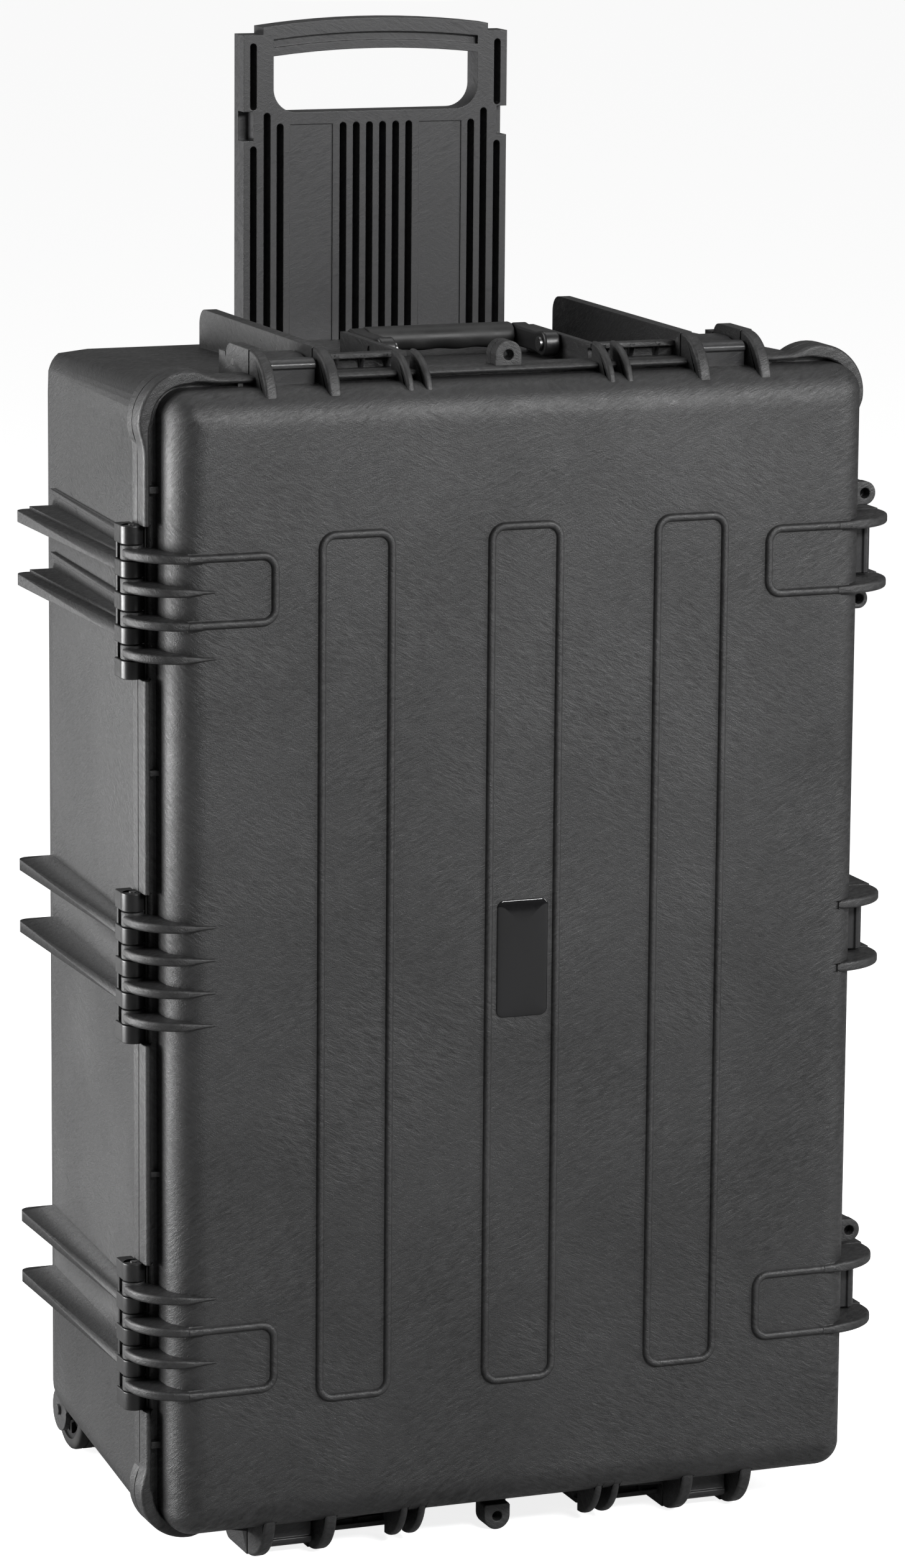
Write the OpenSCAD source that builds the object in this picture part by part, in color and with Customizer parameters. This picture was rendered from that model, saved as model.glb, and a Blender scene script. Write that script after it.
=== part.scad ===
// Hard equipment case with trolley handle and wheels, standing on its short side.
// Local frame of every module: X across, Y depth behind the flat lid face, Z from mid-height.
// The whole case is then moved so that its origin is the centre of its footprint, on the floor.

/* [Case] */
// Overall width, from the hinge fins to the latch ribs
case_w = 560; // [480:5:680]
// Overall height of the box, across the top and bottom ribs
case_h = 860; // [740:5:1040]
// Overall depth, from the lid ridges to the back of the wheels
case_d = 355; // [300:5:440]
// Depth of the lid, from its flat face to the parting line
lid_d = 45; // [42:1:56]
// Thickness of the moulded walls
wall = 4.5; // [3.5:0.5:6]

/* [Rim and corners] */
// Distance from the outermost rib to the rim at the sides
side_reach = 12; // [10:1:16]
// Distance from the outermost rib to the rim at the top and bottom
end_reach = 17; // [14:1:22]
// Step from the rim in to the lid wall
rim_step = 11; // [9:1:13]
// Rounding between the lid face and the lid wall
lid_round = 25; // [18:1:30]
// Corner radius of the rim
rim_r = 40; // [32:1:50]
// Extra radius of the corner bumpers
bumper = 6; // [3:1:8]
// Taper of the base wall from the rim to the back, at the sides
draft_side = 16; // [6:1:22]
// Taper of the base wall at the top and bottom
draft_end = 8; // [4:1:14]

/* [Ridges and ribs] */
// Height of the rounded ridges on the lid face
bead_h = 3; // [2:0.5:4]
// Width of the rounded ridges
bead_w = 8; // [6:1:10]
// Width of each long ridge loop on the lid
loop_w = 55; // [44:1:64]
// Thickness of the hinge ribs on the lid
rib_t = 6.5; // [5:0.5:8]
// Thickness of the top and bottom latch ribs
latch_rib_t = 9; // [7:0.5:11]

/* [Hinge] */
// Radius of the hinge knuckles
knuckle_r = 8; // [7:0.5:9]
// Distance between neighbouring lid knuckles
knuckle_pitch = 23; // [21:0.5:28]
// Length of a lid knuckle
lid_knuckle = 10.5; // [8:0.5:12]
// Radius of the hinge pins
hinge_pin_r = 2.5; // [2:0.25:3]

/* [Latches] */
// Distance from the middle of a latch to the middle of its ribs
latch_half = 23; // [21:0.5:28]
// Radius of the latch pins
latch_pin_r = 2.5; // [2:0.25:3]
// Distance from the parting line back to the latch pin
latch_back = 33; // [28:1:40]
// Radius of the padlock holes
eyelet_r = 3.6; // [3:0.1:4]

/* [Carry handles] */
// Width between the outer faces of a handle's arms
handle_w = 136; // [120:2:160]
// Length of an arm from its pivot to the grip
handle_arm = 55; // [45:1:66]
// Radius of the handle's pivot screws
handle_pin_r = 3; // [2.5:0.25:4]

/* [Pull handle] */
// Width of the pull handle
pull_w = 204; // [170:2:220]
// Thickness of the pull handle
pull_t = 20; // [17:1:23]
// Height of the pull handle above the box when pulled out
pull_out = 200; // [160:5:260]
// Length of the pull handle
pull_len = 404; // [340:2:460]

/* [Wheels] */
// Radius of the wheels
wheel_r = 31; // [26:1:33]
// Width of the tyres
wheel_w = 24; // [20:1:26]
// Radius of the wheel axles
axle_r = 4; // [3.5:0.25:5]

/* [Clearances] */
// Radial running clearance of a pin in a turning bore
run_gap = 0.06; // [0.03:0.01:0.09]
// Gap between the lid and the base at the parting line
part_gap = 0.3; // [0.2:0.05:0.5]
// Side clearance of the latches between their ribs
side_gap = 1.5; // [1:0.25:2]
// Clearance around the pull handle in its channel
slide_gap = 0.6; // [0.4:0.1:1]

/* [Hidden] */
$fn = 64;
// Step that keeps the flat sides of a rib inside its arcs
tuck = 0.05;
big = 3000;

charcoal = [0.16, 0.16, 0.16];
black = [0.06, 0.06, 0.06];
steel = [0.62, 0.63, 0.64];

// Box outline, as half sizes
half_w = case_w / 2;
half_h = case_h / 2;
rim_hw = half_w - side_reach;
rim_hh = half_h - end_reach;
lid_hw = rim_hw - rim_step;
lid_hh = rim_hh - rim_step;
lid_r = rim_r - rim_step;
base_lip = 5;
base_hw = rim_hw - base_lip;
base_hh = rim_hh - base_lip;
base_r = rim_r - base_lip;

// Depths behind the flat lid face
parting = lid_d;
lid_end = parting - part_gap / 2;
base_start = parting + part_gap / 2;
flange_d = parting - 15;
rim_end = parting + 11;
rear_d = case_d - bead_h;
back_d = rear_d - 25;
back_round = 24;
front_y = bead_h - case_d / 2;

// Lid ridges and ribs
bead_r = (pow(bead_w / 2, 2) + pow(bead_h, 2)) / (2 * bead_h);
loop_x = half_w * 0.445;
loop_half_h = half_h * 0.719;
loop_r = 11;
u_z = half_h * 0.6314;
u_x = half_w * 0.648;
rib_arc = parting - 9 + bead_h;

// Hinge
hinge_x = -half_w + knuckle_r;
hinge_z = [u_z - knuckle_pitch / 2, half_h * 0.0093, -u_z + knuckle_pitch / 2];
rib_steps = [-1.5, -0.5, 0.5, 1.5];
end_knuckle = 13;
base_knuckle = knuckle_pitch - lid_knuckle - 0.8;
hinge_half = 1.5 * knuckle_pitch + lid_knuckle / 2 + 0.4 + end_knuckle;
sweep_r = knuckle_r + 4.5;
strip_d = parting + sweep_r + 0.2;
strip_t = 4;
fin_start = strip_d + strip_t + 0.1;
fin_t = 8;

// Latches
latch_z = [u_z, half_h * -0.007, -u_z];
latch_x = half_w * 0.573;
latch_pin_d = parting + latch_back;
latch_rise = 4.6;
lever_r = 6.2;
nose_front = flange_d + 1;
nose_back = parting - 7.2;
keeper_front = parting - 6.8;
eyelet_z = [latch_z[0] + latch_half + 16, latch_z[2] + latch_half + 16];
small_eyelet_z = latch_z[0] - latch_half - 14;

// Carry handles
pivot_d = parting + 70;
pivot_z = half_h - 13.5;
arm_t = 12;
stop_x = handle_w / 2;
stop_t = 5.5;
grip_len = handle_w - 2 * arm_t - 1;

// Pull handle and its channel
pull_front = back_d - 28;
pull_top = half_h + pull_out - 7;
pull_bottom = pull_top - pull_len;
shoulder = 5;
channel_front = pull_front - slide_gap;
channel_back = pull_front + pull_t + slide_gap;
channel_hw = pull_w / 2 + slide_gap;
channel_low = pull_bottom - pull_out - 12;
cover_hw = pull_w / 2 + 22;
cover_top = base_hh - draft_end - back_round - 2;

// Wheels
wheel_d = rear_d - wheel_r;
wheel_z = -half_h + wheel_r + 2;
pocket_in = base_hw - draft_side - wheel_w - 18;
pocket_out = pocket_in + wheel_w + 6;
pocket_r = wheel_r + 5;
wheel_mid = (pocket_in + pocket_out) / 2;
axle_in = pocket_in - 4;
axle_out = pocket_out + 6;
rim_radius = wheel_r - 8;

// Valve on the latch side
valve_z = half_h * 0.32;
valve_d = parting + 90;
valve_r = 9;

// ---------- shared shapes ----------

module placed() { translate([0, front_y, half_h]) children(); }

// Solid of constant section across X: outline in depth and height
module along_x(x, t) { translate([x - t / 2, 0, 0]) rotate([90, 0, 90]) linear_extrude(t) children(); }

// Solid of constant section through the depth: outline in X and Z
module along_y(d0, d1) { translate([0, d1, 0]) rotate([90, 0, 0]) linear_extrude(d1 - d0) children(); }

// Solid of constant section up Z: outline in X and depth
module along_z(z, t) { translate([0, 0, z - t / 2]) linear_extrude(t) children(); }

module ends() {
    children();
    mirror([0, 0, 1]) children();
}

module sides() {
    children();
    mirror([1, 0, 0]) children();
}

module rrect(hw, hh, r) {
    square([2 * hw, 2 * (hh - r)], center = true);
    square([2 * (hw - r), 2 * hh], center = true);
    for (x = [-1, 1], z = [-1, 1]) translate([x * (hw - r), z * (hh - r)]) circle(r);
}

// Points of one rounded rectangle ring in the plane at depth s[0]; s = [depth, half w, half h, radius]
function ring_points(s, n) = [
    for (q = [0:3], i = [0:n]) let (a = 90 * (q + i / n), sx = (q == 0 || q == 3) ? 1 : -1, sz = q < 2 ? 1 : -1)
        [sx * (s[1] - s[3]) + s[3] * cos(a), s[0], sz * (s[2] - s[3]) + s[3] * sin(a)]
];

// Tub with rounded corners: one ring for each section, skinned from the first depth to the last
module tub(sections, n = 8) {
    m = 4 * (n + 1);
    rings = len(sections);
    points = [for (s = sections) each ring_points(s, n)];
    walls = [
        for (k = [0:rings - 2], i = [0:m - 1]) let (a = k * m + i, b = k * m + (i + 1) % m)
            each [[a, b, b + m], [a, b + m, a + m]]
    ];
    first = [[for (i = [0:m - 1]) m - 1 - i]];
    last = [[for (i = [0:m - 1]) (rings - 1) * m + i]];
    polyhedron(points, concat(walls, first, last), convexity = 4);
}

// Sections of a dome edge: quarter round of radius r that ends flat at depth d (dir = 1 opens away from d)
function dome(d, hw, hh, cr, r, dir, n = 6) = [
    for (i = [0:n]) let (a = 90 * i / n, inset = r * (1 - sin(a)))
        [d + dir * r * (1 - cos(a)), hw - inset, hh - inset, max(cr - inset, 3)]
];

// ---------- lid ----------

module lid_outer() {
    tub(concat(dome(0, lid_hw, lid_hh, lid_r, lid_round, 1), [[lid_end, lid_hw + 1, lid_hh + 1, lid_r + 1]]));
}

module lid_inner() {
    r = lid_round - wall;
    tub(concat(
        dome(wall, lid_hw - wall, lid_hh - wall, lid_r - wall, r, 1),
        [[parting + 1, lid_hw - wall + 1, lid_hh - wall + 1, lid_r - wall + 1]]
    ));
}

module rim_outline() {
    rrect(rim_hw, rim_hh, rim_r);
    for (x = [-1, 1], z = [-1, 1])
        translate([x * (rim_hw - rim_r), z * (rim_hh - rim_r)]) circle(rim_r + bumper);
}

// Channel round the lid wall, open to the front, with short webs across it
module side_channel() {
    difference() {
        along_y(flange_d - 10, parting - 7) difference() {
            rrect(rim_hw - 4, rim_hh - 4, rim_r - 4);
            square([4 * half_w, 2 * (rim_hh - rim_r - 6)], center = true);
        }
        for (x = [-1, 1], z = [-1, 1])
            translate([x * (rim_hw - 18), parting, z * (rim_hh - 18)])
                rotate([0, x * z * 45, 0]) cube([60, 60, 5], center = true);
    }
    for (x = [-1, 1]) difference() {
        translate([x * (rim_hw - 7.5), (flange_d + parting - 7) / 2 - 5, 0])
            cube([7, parting - 7 - flange_d + 10, 2 * (rim_hh - rim_r - 4)], center = true);
        for (z = [-0.33, 0.33]) translate([x * rim_hw, parting - 10, z * half_h]) cube([40, 24, 4], center = true);
    }
}

// Straight and curved pieces of the half-round ridge
module bead_x(x0, x1, z) {
    translate([x0, bead_r - bead_h, z]) rotate([0, 90, 0]) cylinder(r = bead_r, h = x1 - x0);
}
module bead_z(x, z0, z1) { translate([x, bead_r - bead_h, z0]) cylinder(r = bead_r, h = z1 - z0); }
module bead_corner(x, z, r, a) {
    translate([x, bead_r - bead_h, z]) rotate([90, a, 0]) rotate_extrude(angle = 90) translate([r, 0]) circle(bead_r);
}

module ridge_loop(x) {
    hw = (loop_w - bead_w) / 2;
    hh = loop_half_h - bead_w / 2;
    for (s = [-1, 1]) {
        bead_z(x + s * hw, -hh + loop_r, hh - loop_r);
        bead_x(x - hw + loop_r, x + hw - loop_r, s * hh);
    }
    for (q = [0:3]) {
        sx = (q == 0 || q == 3) ? 1 : -1;
        sz = q < 2 ? 1 : -1;
        bead_corner(x + sx * (hw - loop_r), sz * (hh - loop_r), loop_r, -90 * q);
    }
}

// Ridge in the shape of a U that runs out into a pair of ribs at the side, drawn on the right
module ridge_u() {
    x_in = u_x + bead_w / 2;
    for (s = [-1, 1]) bead_x(x_in + loop_r, half_w - rib_arc, u_z + s * latch_half);
    bead_z(x_in, u_z - latch_half + loop_r, u_z + latch_half - loop_r);
    bead_corner(x_in + loop_r, u_z + latch_half - loop_r, loop_r, -90);
    bead_corner(x_in + loop_r, u_z - latch_half + loop_r, loop_r, -180);
}

// Rib outline at the side in X and depth: an arc from the lid face out to the parting line.
// horn is how far the rib runs on over the face, proud is its height there.
module side_rib_2d(horn, proud) {
    r = parting - 9 + proud;
    intersection() {
        union() {
            translate([half_w - r, parting - 9]) circle(r);
            translate([half_w - r - horn, tuck - proud]) square([horn + 2.5, 20]);
            translate([lid_hw - 14, parting - 10]) square([half_w - lid_hw + 14 - tuck, 10 - part_gap / 2]);
        }
        translate([lid_hw - lid_round - 20, -bead_h]) square([big, lid_end + bead_h]);
    }
}

// Taper that sharpens the end of a horned rib
module horn_taper(z) {
    x0 = lid_hw - lid_round - 6;
    x1 = half_w - rib_arc + 10;
    along_y(-10, parting + 20)
        polygon([[x0, z - 0.6], [x1, z - rib_t / 2], [big, z - rib_t / 2], [big, z + rib_t / 2], [x1, z + rib_t / 2], [x0, z + 0.6]]);
}

module hinge_rib(z, horned) {
    mirror([1, 0, 0]) intersection() {
        along_z(z, rib_t) side_rib_2d(horned ? 16 : 4, horned ? 1.8 : bead_h - 0.3);
        if (horned) horn_taper(z);
        else cube(2 * big, center = true);
    }
}

module lid_knuckles(z) {
    for (k = rib_steps) translate([hinge_x, parting, z + k * knuckle_pitch - lid_knuckle / 2])
        cylinder(r = knuckle_r, h = lid_knuckle);
}

// Lid ribs of one side latch, drawn on the right
module side_latch_ribs(z, joined) {
    for (s = [-1, 1]) along_z(z + s * latch_half, rib_t + 0.5) side_rib_2d(joined ? 4 : 0, joined ? bead_h - 0.3 : 0);
}

// Rib outline at the top in depth and height
module end_rib_2d(reach) {
    r = parting - 8;
    intersection() {
        union() {
            translate([parting, half_h - reach - r]) circle(r);
            translate([parting - r + tuck, lid_hh - 40]) square([r - tuck, half_h - reach - r - lid_hh + 42]);
        }
        translate([0, lid_hh - lid_round]) square([lid_end, big]);
    }
}

module end_latch_ribs() {
    sides() for (s = [-1, 1]) along_x(latch_x + s * latch_half, latch_rib_t) end_rib_2d(0);
    sides() for (x = [stop_x, stop_x + 13.5]) along_x(x, stop_t) end_rib_2d(4);
}

// Tab of a padlock eyelet, pointing up
module eyelet_tab(d0, d1, r = 10, stalk = 12) {
    along_y(d0, d1) union() {
        circle(r);
        translate([-r, -stalk]) square([2 * r, stalk]);
    }
}

module eyelets(d0, d1) {
    ends() translate([0, 0, half_h - 10]) eyelet_tab(d0, d1);
    for (z = eyelet_z) translate([half_w - 8.5, 0, z]) rotate([0, 90, 0]) eyelet_tab(d0, d1, 8.5, 9);
    translate([half_w - 10, 0, small_eyelet_z]) rotate([0, 90, 0]) eyelet_tab(d0, d1, 7, 9);
}

// Padlock holes through the tabs and the rim behind them
module eyelet_holes(d0, d1) {
    ends() translate([0, d1, half_h - 10]) rotate([90, 0, 0]) cylinder(r = eyelet_r, h = d1 - d0);
    for (z = eyelet_z) translate([half_w - 8.5, d1, z]) rotate([90, 0, 0]) cylinder(r = eyelet_r, h = d1 - d0);
    translate([half_w - 10, d1, small_eyelet_z]) rotate([90, 0, 0]) cylinder(r = eyelet_r, h = d1 - d0);
}

// Space that a latch sweeps in the lid flange
module latch_notches() {
    for (z = latch_z) translate([lid_hw + 2, flange_d - 5, z - latch_half + rib_t / 2])
        cube([60, keeper_front - flange_d + 5, 2 * latch_half - rib_t]);
    ends() sides() translate([latch_x - latch_half + latch_rib_t / 2, flange_d - 5, lid_hh + 2])
        cube([2 * latch_half - latch_rib_t, keeper_front - flange_d + 5, 60]);
}

// Room in the lid for the base knuckles and in the base for the lid knuckles
module knuckle_room(z, steps, length, r) {
    for (k = steps) translate([hinge_x, parting, z + k * knuckle_pitch - length / 2]) cylinder(r = r, h = length);
}

module lid_shell() {
    color(charcoal) placed() difference() {
        union() {
            lid_outer();
            difference() {
                along_y(flange_d, lid_end) rim_outline();
                latch_notches();
                side_channel();
                translate([hinge_x, parting, -half_h]) cylinder(r = 4, h = case_h);
            }
            for (x = [-loop_x, 0, loop_x]) ridge_loop(x);
            ends() sides() ridge_u();
            for (k = rib_steps) {
                hinge_rib(hinge_z[0] + k * knuckle_pitch, k != 1.5 && k != -0.5);
                hinge_rib(hinge_z[1] + k * knuckle_pitch, true);
                hinge_rib(hinge_z[2] + k * knuckle_pitch, k != -1.5 && k != 0.5);
            }
            side_latch_ribs(latch_z[0], true);
            side_latch_ribs(latch_z[1], false);
            side_latch_ribs(latch_z[2], true);
            ends() end_latch_ribs();
            eyelets(flange_d + 6, lid_end);
            for (z = hinge_z) difference() {
                lid_knuckles(z);
                translate([hinge_x + knuckle_r - 4, parting + part_gap / 2, z - hinge_half]) cube([20, 20, 2 * hinge_half]);
            }
        }
        lid_inner();
        seal_groove();
        eyelet_holes(flange_d - 1, parting + 1);
        for (z = hinge_z) {
            knuckle_room(z, [-2, -1, 0, 1, 2], knuckle_pitch - lid_knuckle, knuckle_r + 0.8);
            translate([hinge_x, parting, z - hinge_half - 5]) cylinder(r = hinge_pin_r + run_gap, h = 2 * hinge_half + 10);
        }
        for (z = [hinge_z[0], hinge_z[1], hinge_z[2]], s = [-1, 1])
            translate([hinge_x, parting, z + s * (hinge_half - end_knuckle / 2 + 0.5) - end_knuckle / 2 - 0.5])
                cylinder(r = knuckle_r + 0.8, h = end_knuckle + 1);
    }
}

seal_mid = rim_hw - 6;
module seal_ring(d0, d1, half) {
    grow = seal_mid - rim_hw;
    along_y(d0, d1) difference() {
        rrect(rim_hw + grow + half, rim_hh + grow + half, rim_r + grow + half);
        rrect(rim_hw + grow - half, rim_hh + grow - half, rim_r + grow - half);
    }
}
module seal_groove() { seal_ring(parting - 3.6, parting + 1, 2); }
module lid_seal() { color(black) placed() seal_ring(parting - 3.6, lid_end, 1.95); }

module badge() {
    color(black) placed() along_y(-2, 0) rrect(19, 42, 5);
}

// ---------- hinge ----------

module hinge_block(z) {
    color(black) placed() difference() {
        union() {
            for (k = [-1, 0, 1]) base_knuckle_at(z + k * knuckle_pitch, base_knuckle);
            for (s = [-1, 1]) base_knuckle_at(z + s * (hinge_half - end_knuckle / 2), end_knuckle);
            translate([hinge_x - knuckle_r + 1.5, strip_d, z - hinge_half]) cube([2 * knuckle_r - 3, strip_t, 2 * hinge_half]);
        }
        translate([hinge_x, parting, z - hinge_half - 5]) cylinder(r = hinge_pin_r + 0.03, h = 2 * hinge_half + 10);
    }
}

module base_knuckle_at(z, length) {
    translate([hinge_x, parting, z - length / 2]) cylinder(r = knuckle_r, h = length);
    translate([hinge_x - knuckle_r, parting, z - length / 2]) cube([2 * knuckle_r - 4.1, strip_d - parting + 1, length]);
}

module hinge_pin(z) {
    color(steel) placed() translate([hinge_x, parting, z - hinge_half - 0.5]) cylinder(r = hinge_pin_r, h = 2 * hinge_half + 1);
}

// ---------- base ----------

// Half width and half height of the base wall at a depth
function base_hw_at(d) = base_hw - draft_side * (d - rim_end) / (back_d - rim_end);
function base_hh_at(d) = base_hh - draft_end * (d - rim_end) / (back_d - rim_end);

module base_outer() {
    d1 = back_d - back_round;
    rounds = dome(back_d, base_hw_at(d1), base_hh_at(d1), base_r - 4, back_round, -1);
    tub(concat([[base_start, base_hw, base_hh, base_r]], [for (i = [len(rounds) - 1:-1:0]) rounds[i]]));
}

module base_inner() {
    d1 = back_d - back_round;
    r = back_round - wall;
    rounds = dome(back_d - wall, base_hw_at(d1) - wall, base_hh_at(d1) - wall, base_r - 4 - wall, r, -1);
    tub(concat(
        [[parting - 2, base_hw - wall, base_hh - wall, base_r - wall]],
        [for (i = [len(rounds) - 1:-1:0]) rounds[i]]
    ));
}

// Fin on the hinge side: flat plate with a rounded outer corner at the back
module side_fin(z, stepped) {
    back = back_d - 26;
    r = 9;
    mirror([1, 0, 0]) {
        along_z(z, fin_t) difference() {
            translate([base_hw - draft_side - 6, fin_start]) square([half_w - base_hw + draft_side + 6 - 4, back - fin_start]);
            translate([half_w - 4 - r, back - r]) difference() {
                square(r + 1);
                circle(r);
            }
        }
        if (stepped) {
            along_z(z + 1, fin_t + 4) translate([base_hw - draft_side - 6, fin_start]) square([half_w - base_hw + draft_side - 7, back - fin_start - 8]);
            along_z(z + 18, 3.4) translate([base_hw - draft_side - 6, fin_start]) square([draft_side + 6 + 3.5, back - fin_start - 12]);
        }
    }
}

// Long plate on the top that also is a foot at the bottom, with a short plate beside it
module end_plates() {
    long_back = back_d - 46;
    corner = 12;
    sides() along_x(latch_x - latch_half, latch_rib_t) difference() {
        translate([base_start, base_hh - 30]) square([long_back - base_start, end_reach + base_lip + 30]);
        translate([long_back - corner, half_h - corner]) difference() {
            square(corner + 1);
            circle(corner);
        }
    }
    sides() along_x(latch_x + latch_half, latch_rib_t) difference() {
        union() {
            translate([base_start, base_hh - 30]) square([latch_back + 14 - base_start + parting, end_reach + base_lip + 30]);
            translate([latch_pin_d + 14, base_hh - 30]) square([14, 30 + end_reach - 2]);
        }
        translate([latch_pin_d + 14 - 10, half_h - 10]) difference() {
            square(11);
            circle(10);
        }
    }
}

// Short plates for the side latches, drawn on the right
module side_plates(z) {
    back = latch_pin_d + 26;
    for (s = [-1, 1]) along_z(z + s * latch_half, rib_t + 0.5) difference() {
        translate([base_hw - 20, base_start]) square([half_w - base_hw + 20, back - base_start]);
        translate([half_w - 12, back - 12]) difference() {
            square(13);
            circle(12);
        }
    }
}

module latch_pin_bores() {
    for (z = latch_z) translate([rim_hw + latch_rise, latch_pin_d, z]) cylinder(r = latch_pin_r + 0.03, h = 80, center = true);
    ends() sides() translate([latch_x, latch_pin_d, rim_hh + latch_rise]) rotate([0, 90, 0]) cylinder(r = latch_pin_r + 0.03, h = 80, center = true);
}

// Brackets of one carry handle: two cheeks, a front wall with gussets and a small shelf
module handle_brackets() {
    cheek_x = stop_x + 0.8;
    cheek_t = 5;
    outer_x = latch_x - latch_half - latch_rib_t / 2;
    shelf_z = half_h - 7;
    sides() {
        translate([cheek_x, parting + 14, base_hh - 14]) cube([cheek_t, pivot_d - parting + 44, shelf_z - base_hh + 14]);
        translate([cheek_x, parting + 14, base_hh - 14]) cube([outer_x - cheek_x + 1, 4, shelf_z - base_hh + 14]);
        translate([cheek_x, parting + 9, shelf_z - 3.5]) cube([outer_x - cheek_x + 1, 9, 3.5]);
        for (k = [0.2, 0.5, 0.8]) along_x(cheek_x + k * (outer_x - cheek_x), 3)
            polygon([[parting + 15, shelf_z - 1], [parting + 8, shelf_z - 1], [parting + 13, rim_hh - 1], [parting + 15, rim_hh - 1]]);
    }
}

module handle_pin_bores() {
    ends() translate([0, pivot_d, pivot_z]) rotate([0, 90, 0]) cylinder(r = handle_pin_r + 0.03, h = 2 * (stop_x + 30), center = true);
}

// Recess in the back for the pull handle, open at the top, and the seat of its cover
module pull_channel() {
    translate([-channel_hw, channel_front, pull_bottom + 20]) cube([2 * channel_hw, big, big]);
    translate([-channel_hw - shoulder, channel_front, channel_low])
        cube([2 * (channel_hw + shoulder), big, pull_bottom + 20.5 - channel_low]);
    translate([-cover_hw - 0.3, channel_back, channel_low - 12.3]) cube([2 * cover_hw + 0.6, big, cover_top - channel_low + 12.6]);
}

module pull_channel_walls() {
    intersection() {
        translate([-cover_hw - 4, channel_front - 4, channel_low - 16]) cube([2 * cover_hw + 8, back_d - channel_front + 3.5, big]);
        base_outer();
    }
}

module wheel_pocket(grow) {
    sides() {
        translate([pocket_in - grow, wheel_d, wheel_z]) rotate([0, 90, 0]) cylinder(r = pocket_r + grow, h = pocket_out - pocket_in + 2 * grow);
        translate([pocket_in - grow, wheel_d, -half_h - 10]) cube([pocket_out - pocket_in + 2 * grow, 60, wheel_z + half_h + 10 + pocket_r + grow]);
        translate([pocket_in - grow, wheel_d - pocket_r - grow, -half_h - 10]) cube([pocket_out - pocket_in + 2 * grow, 80, wheel_z + half_h + 10]);
    }
}

// Solid corners that carry the wheels
module wheel_housing() {
    intersection() {
        union() {
            wheel_pocket(4);
            sides() translate([pocket_out, wheel_d, wheel_z]) rotate([0, 90, 0]) cylinder(r = 22, h = 12);
        }
        base_outer();
    }
    sides() for (x = [pocket_in - 4, pocket_out]) translate([x, wheel_d, wheel_z]) rotate([0, 90, 0]) cylinder(r = 16, h = 4);
}

cover_screw_x = cover_hw - 8;
module cover_screw_places() {
    for (x = [-1, 1], k = [0:3])
        translate([x * cover_screw_x, channel_back, channel_low - 4 + k * (cover_top - channel_low - 8) / 3]) children();
}

module base_shell() {
    color(charcoal) placed() difference() {
        union() {
            difference() {
                base_outer();
                base_inner();
            }
            difference() {
                along_y(base_start, rim_end) rim_outline();
                along_y(parting - 5, rim_end + 5) rrect(base_hw - wall, base_hh - wall, base_r - wall);
            }
            intersection() {
                union() {
                    for (z = [hinge_z[0]], s = [-1, 1]) side_fin(z + s * knuckle_pitch, true);
                    for (z = [hinge_z[1], hinge_z[2]], s = [-1, 1]) side_fin(z + s * knuckle_pitch, false);
                }
                translate([-half_w, fin_start, -half_h]) cube([half_w - base_hw + draft_side + 6, big, case_h]);
            }
            ends() end_plates();
            for (z = latch_z) side_plates(z);
            ends() handle_brackets();
            eyelets(base_start, parting + 8);
            pull_channel_walls();
            wheel_housing();
        }
        clear_inside();
        eyelet_holes(parting - 1, rim_end + 1);
        latch_pin_bores();
        handle_pin_bores();
        pull_channel();
        wheel_pocket(0);
        for (z = hinge_z) {
            knuckle_room(z, rib_steps, lid_knuckle + 0.8, sweep_r);
            translate([hinge_x, parting, z - hinge_half - 0.1]) cylinder(r = knuckle_r + 0.1, h = 2 * hinge_half + 0.2);
            translate([hinge_x - knuckle_r - 1, parting - 1, z - hinge_half - 0.1])
                cube([2 * knuckle_r - 3 + 0.1, strip_d + strip_t + 0.1 - parting + 1, 2 * hinge_half + 0.2]);
        }
        sides() translate([axle_in - 1, wheel_d, wheel_z]) rotate([0, 90, 0]) cylinder(r = axle_r + 0.03, h = axle_out - axle_in + 2);
        cover_screw_places() rotate([90, 0, 0]) translate([0, 0, -1]) cylinder(r = 1.8, h = 12);
        translate([0, valve_d, valve_z]) rotate([0, 90, 0]) cylinder(r = valve_r, h = big);
    }
}

// Keeps the ribs out of the storage space
module clear_inside() {
    difference() {
        base_inner();
        pull_channel_walls();
        wheel_housing();
    }
}

// ---------- latches ----------

// Lever outline in depth and height over the rim (height 0 is the rim surface)
module lever_2d() {
    translate([latch_pin_d, latch_rise]) circle(lever_r);
    polygon([
        [nose_front, -rim_step + 3.5], [nose_back, -rim_step + 3.5], [nose_back, 0.5], [latch_pin_d, 0.5],
        [latch_pin_d, latch_rise + lever_r], [nose_front + 8, latch_rise + lever_r], [nose_front, latch_rise + 1]
    ]);
}

module lever_x(x, z_sign) {
    width = 2 * latch_half - latch_rib_t - 2 * side_gap;
    difference() {
        along_x(x, width) translate([0, rim_hh]) lever_2d();
        translate([x, latch_pin_d, rim_hh + latch_rise]) rotate([0, 90, 0]) cylinder(r = latch_pin_r + run_gap, h = 2 * width, center = true);
        finger_scoop(x, width);
    }
}

// Shallow thumb hollow in the outer face of a lever
module finger_scoop(x, width) {
    translate([x, nose_front + 24, rim_hh + latch_rise + lever_r + 18]) rotate([0, 90, 0]) cylinder(r = 20, h = width - 10, center = true);
}

module latch_end(x, top) {
    color(black) placed() mirror([0, 0, top ? 0 : 1]) lever_x(x);
}

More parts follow.
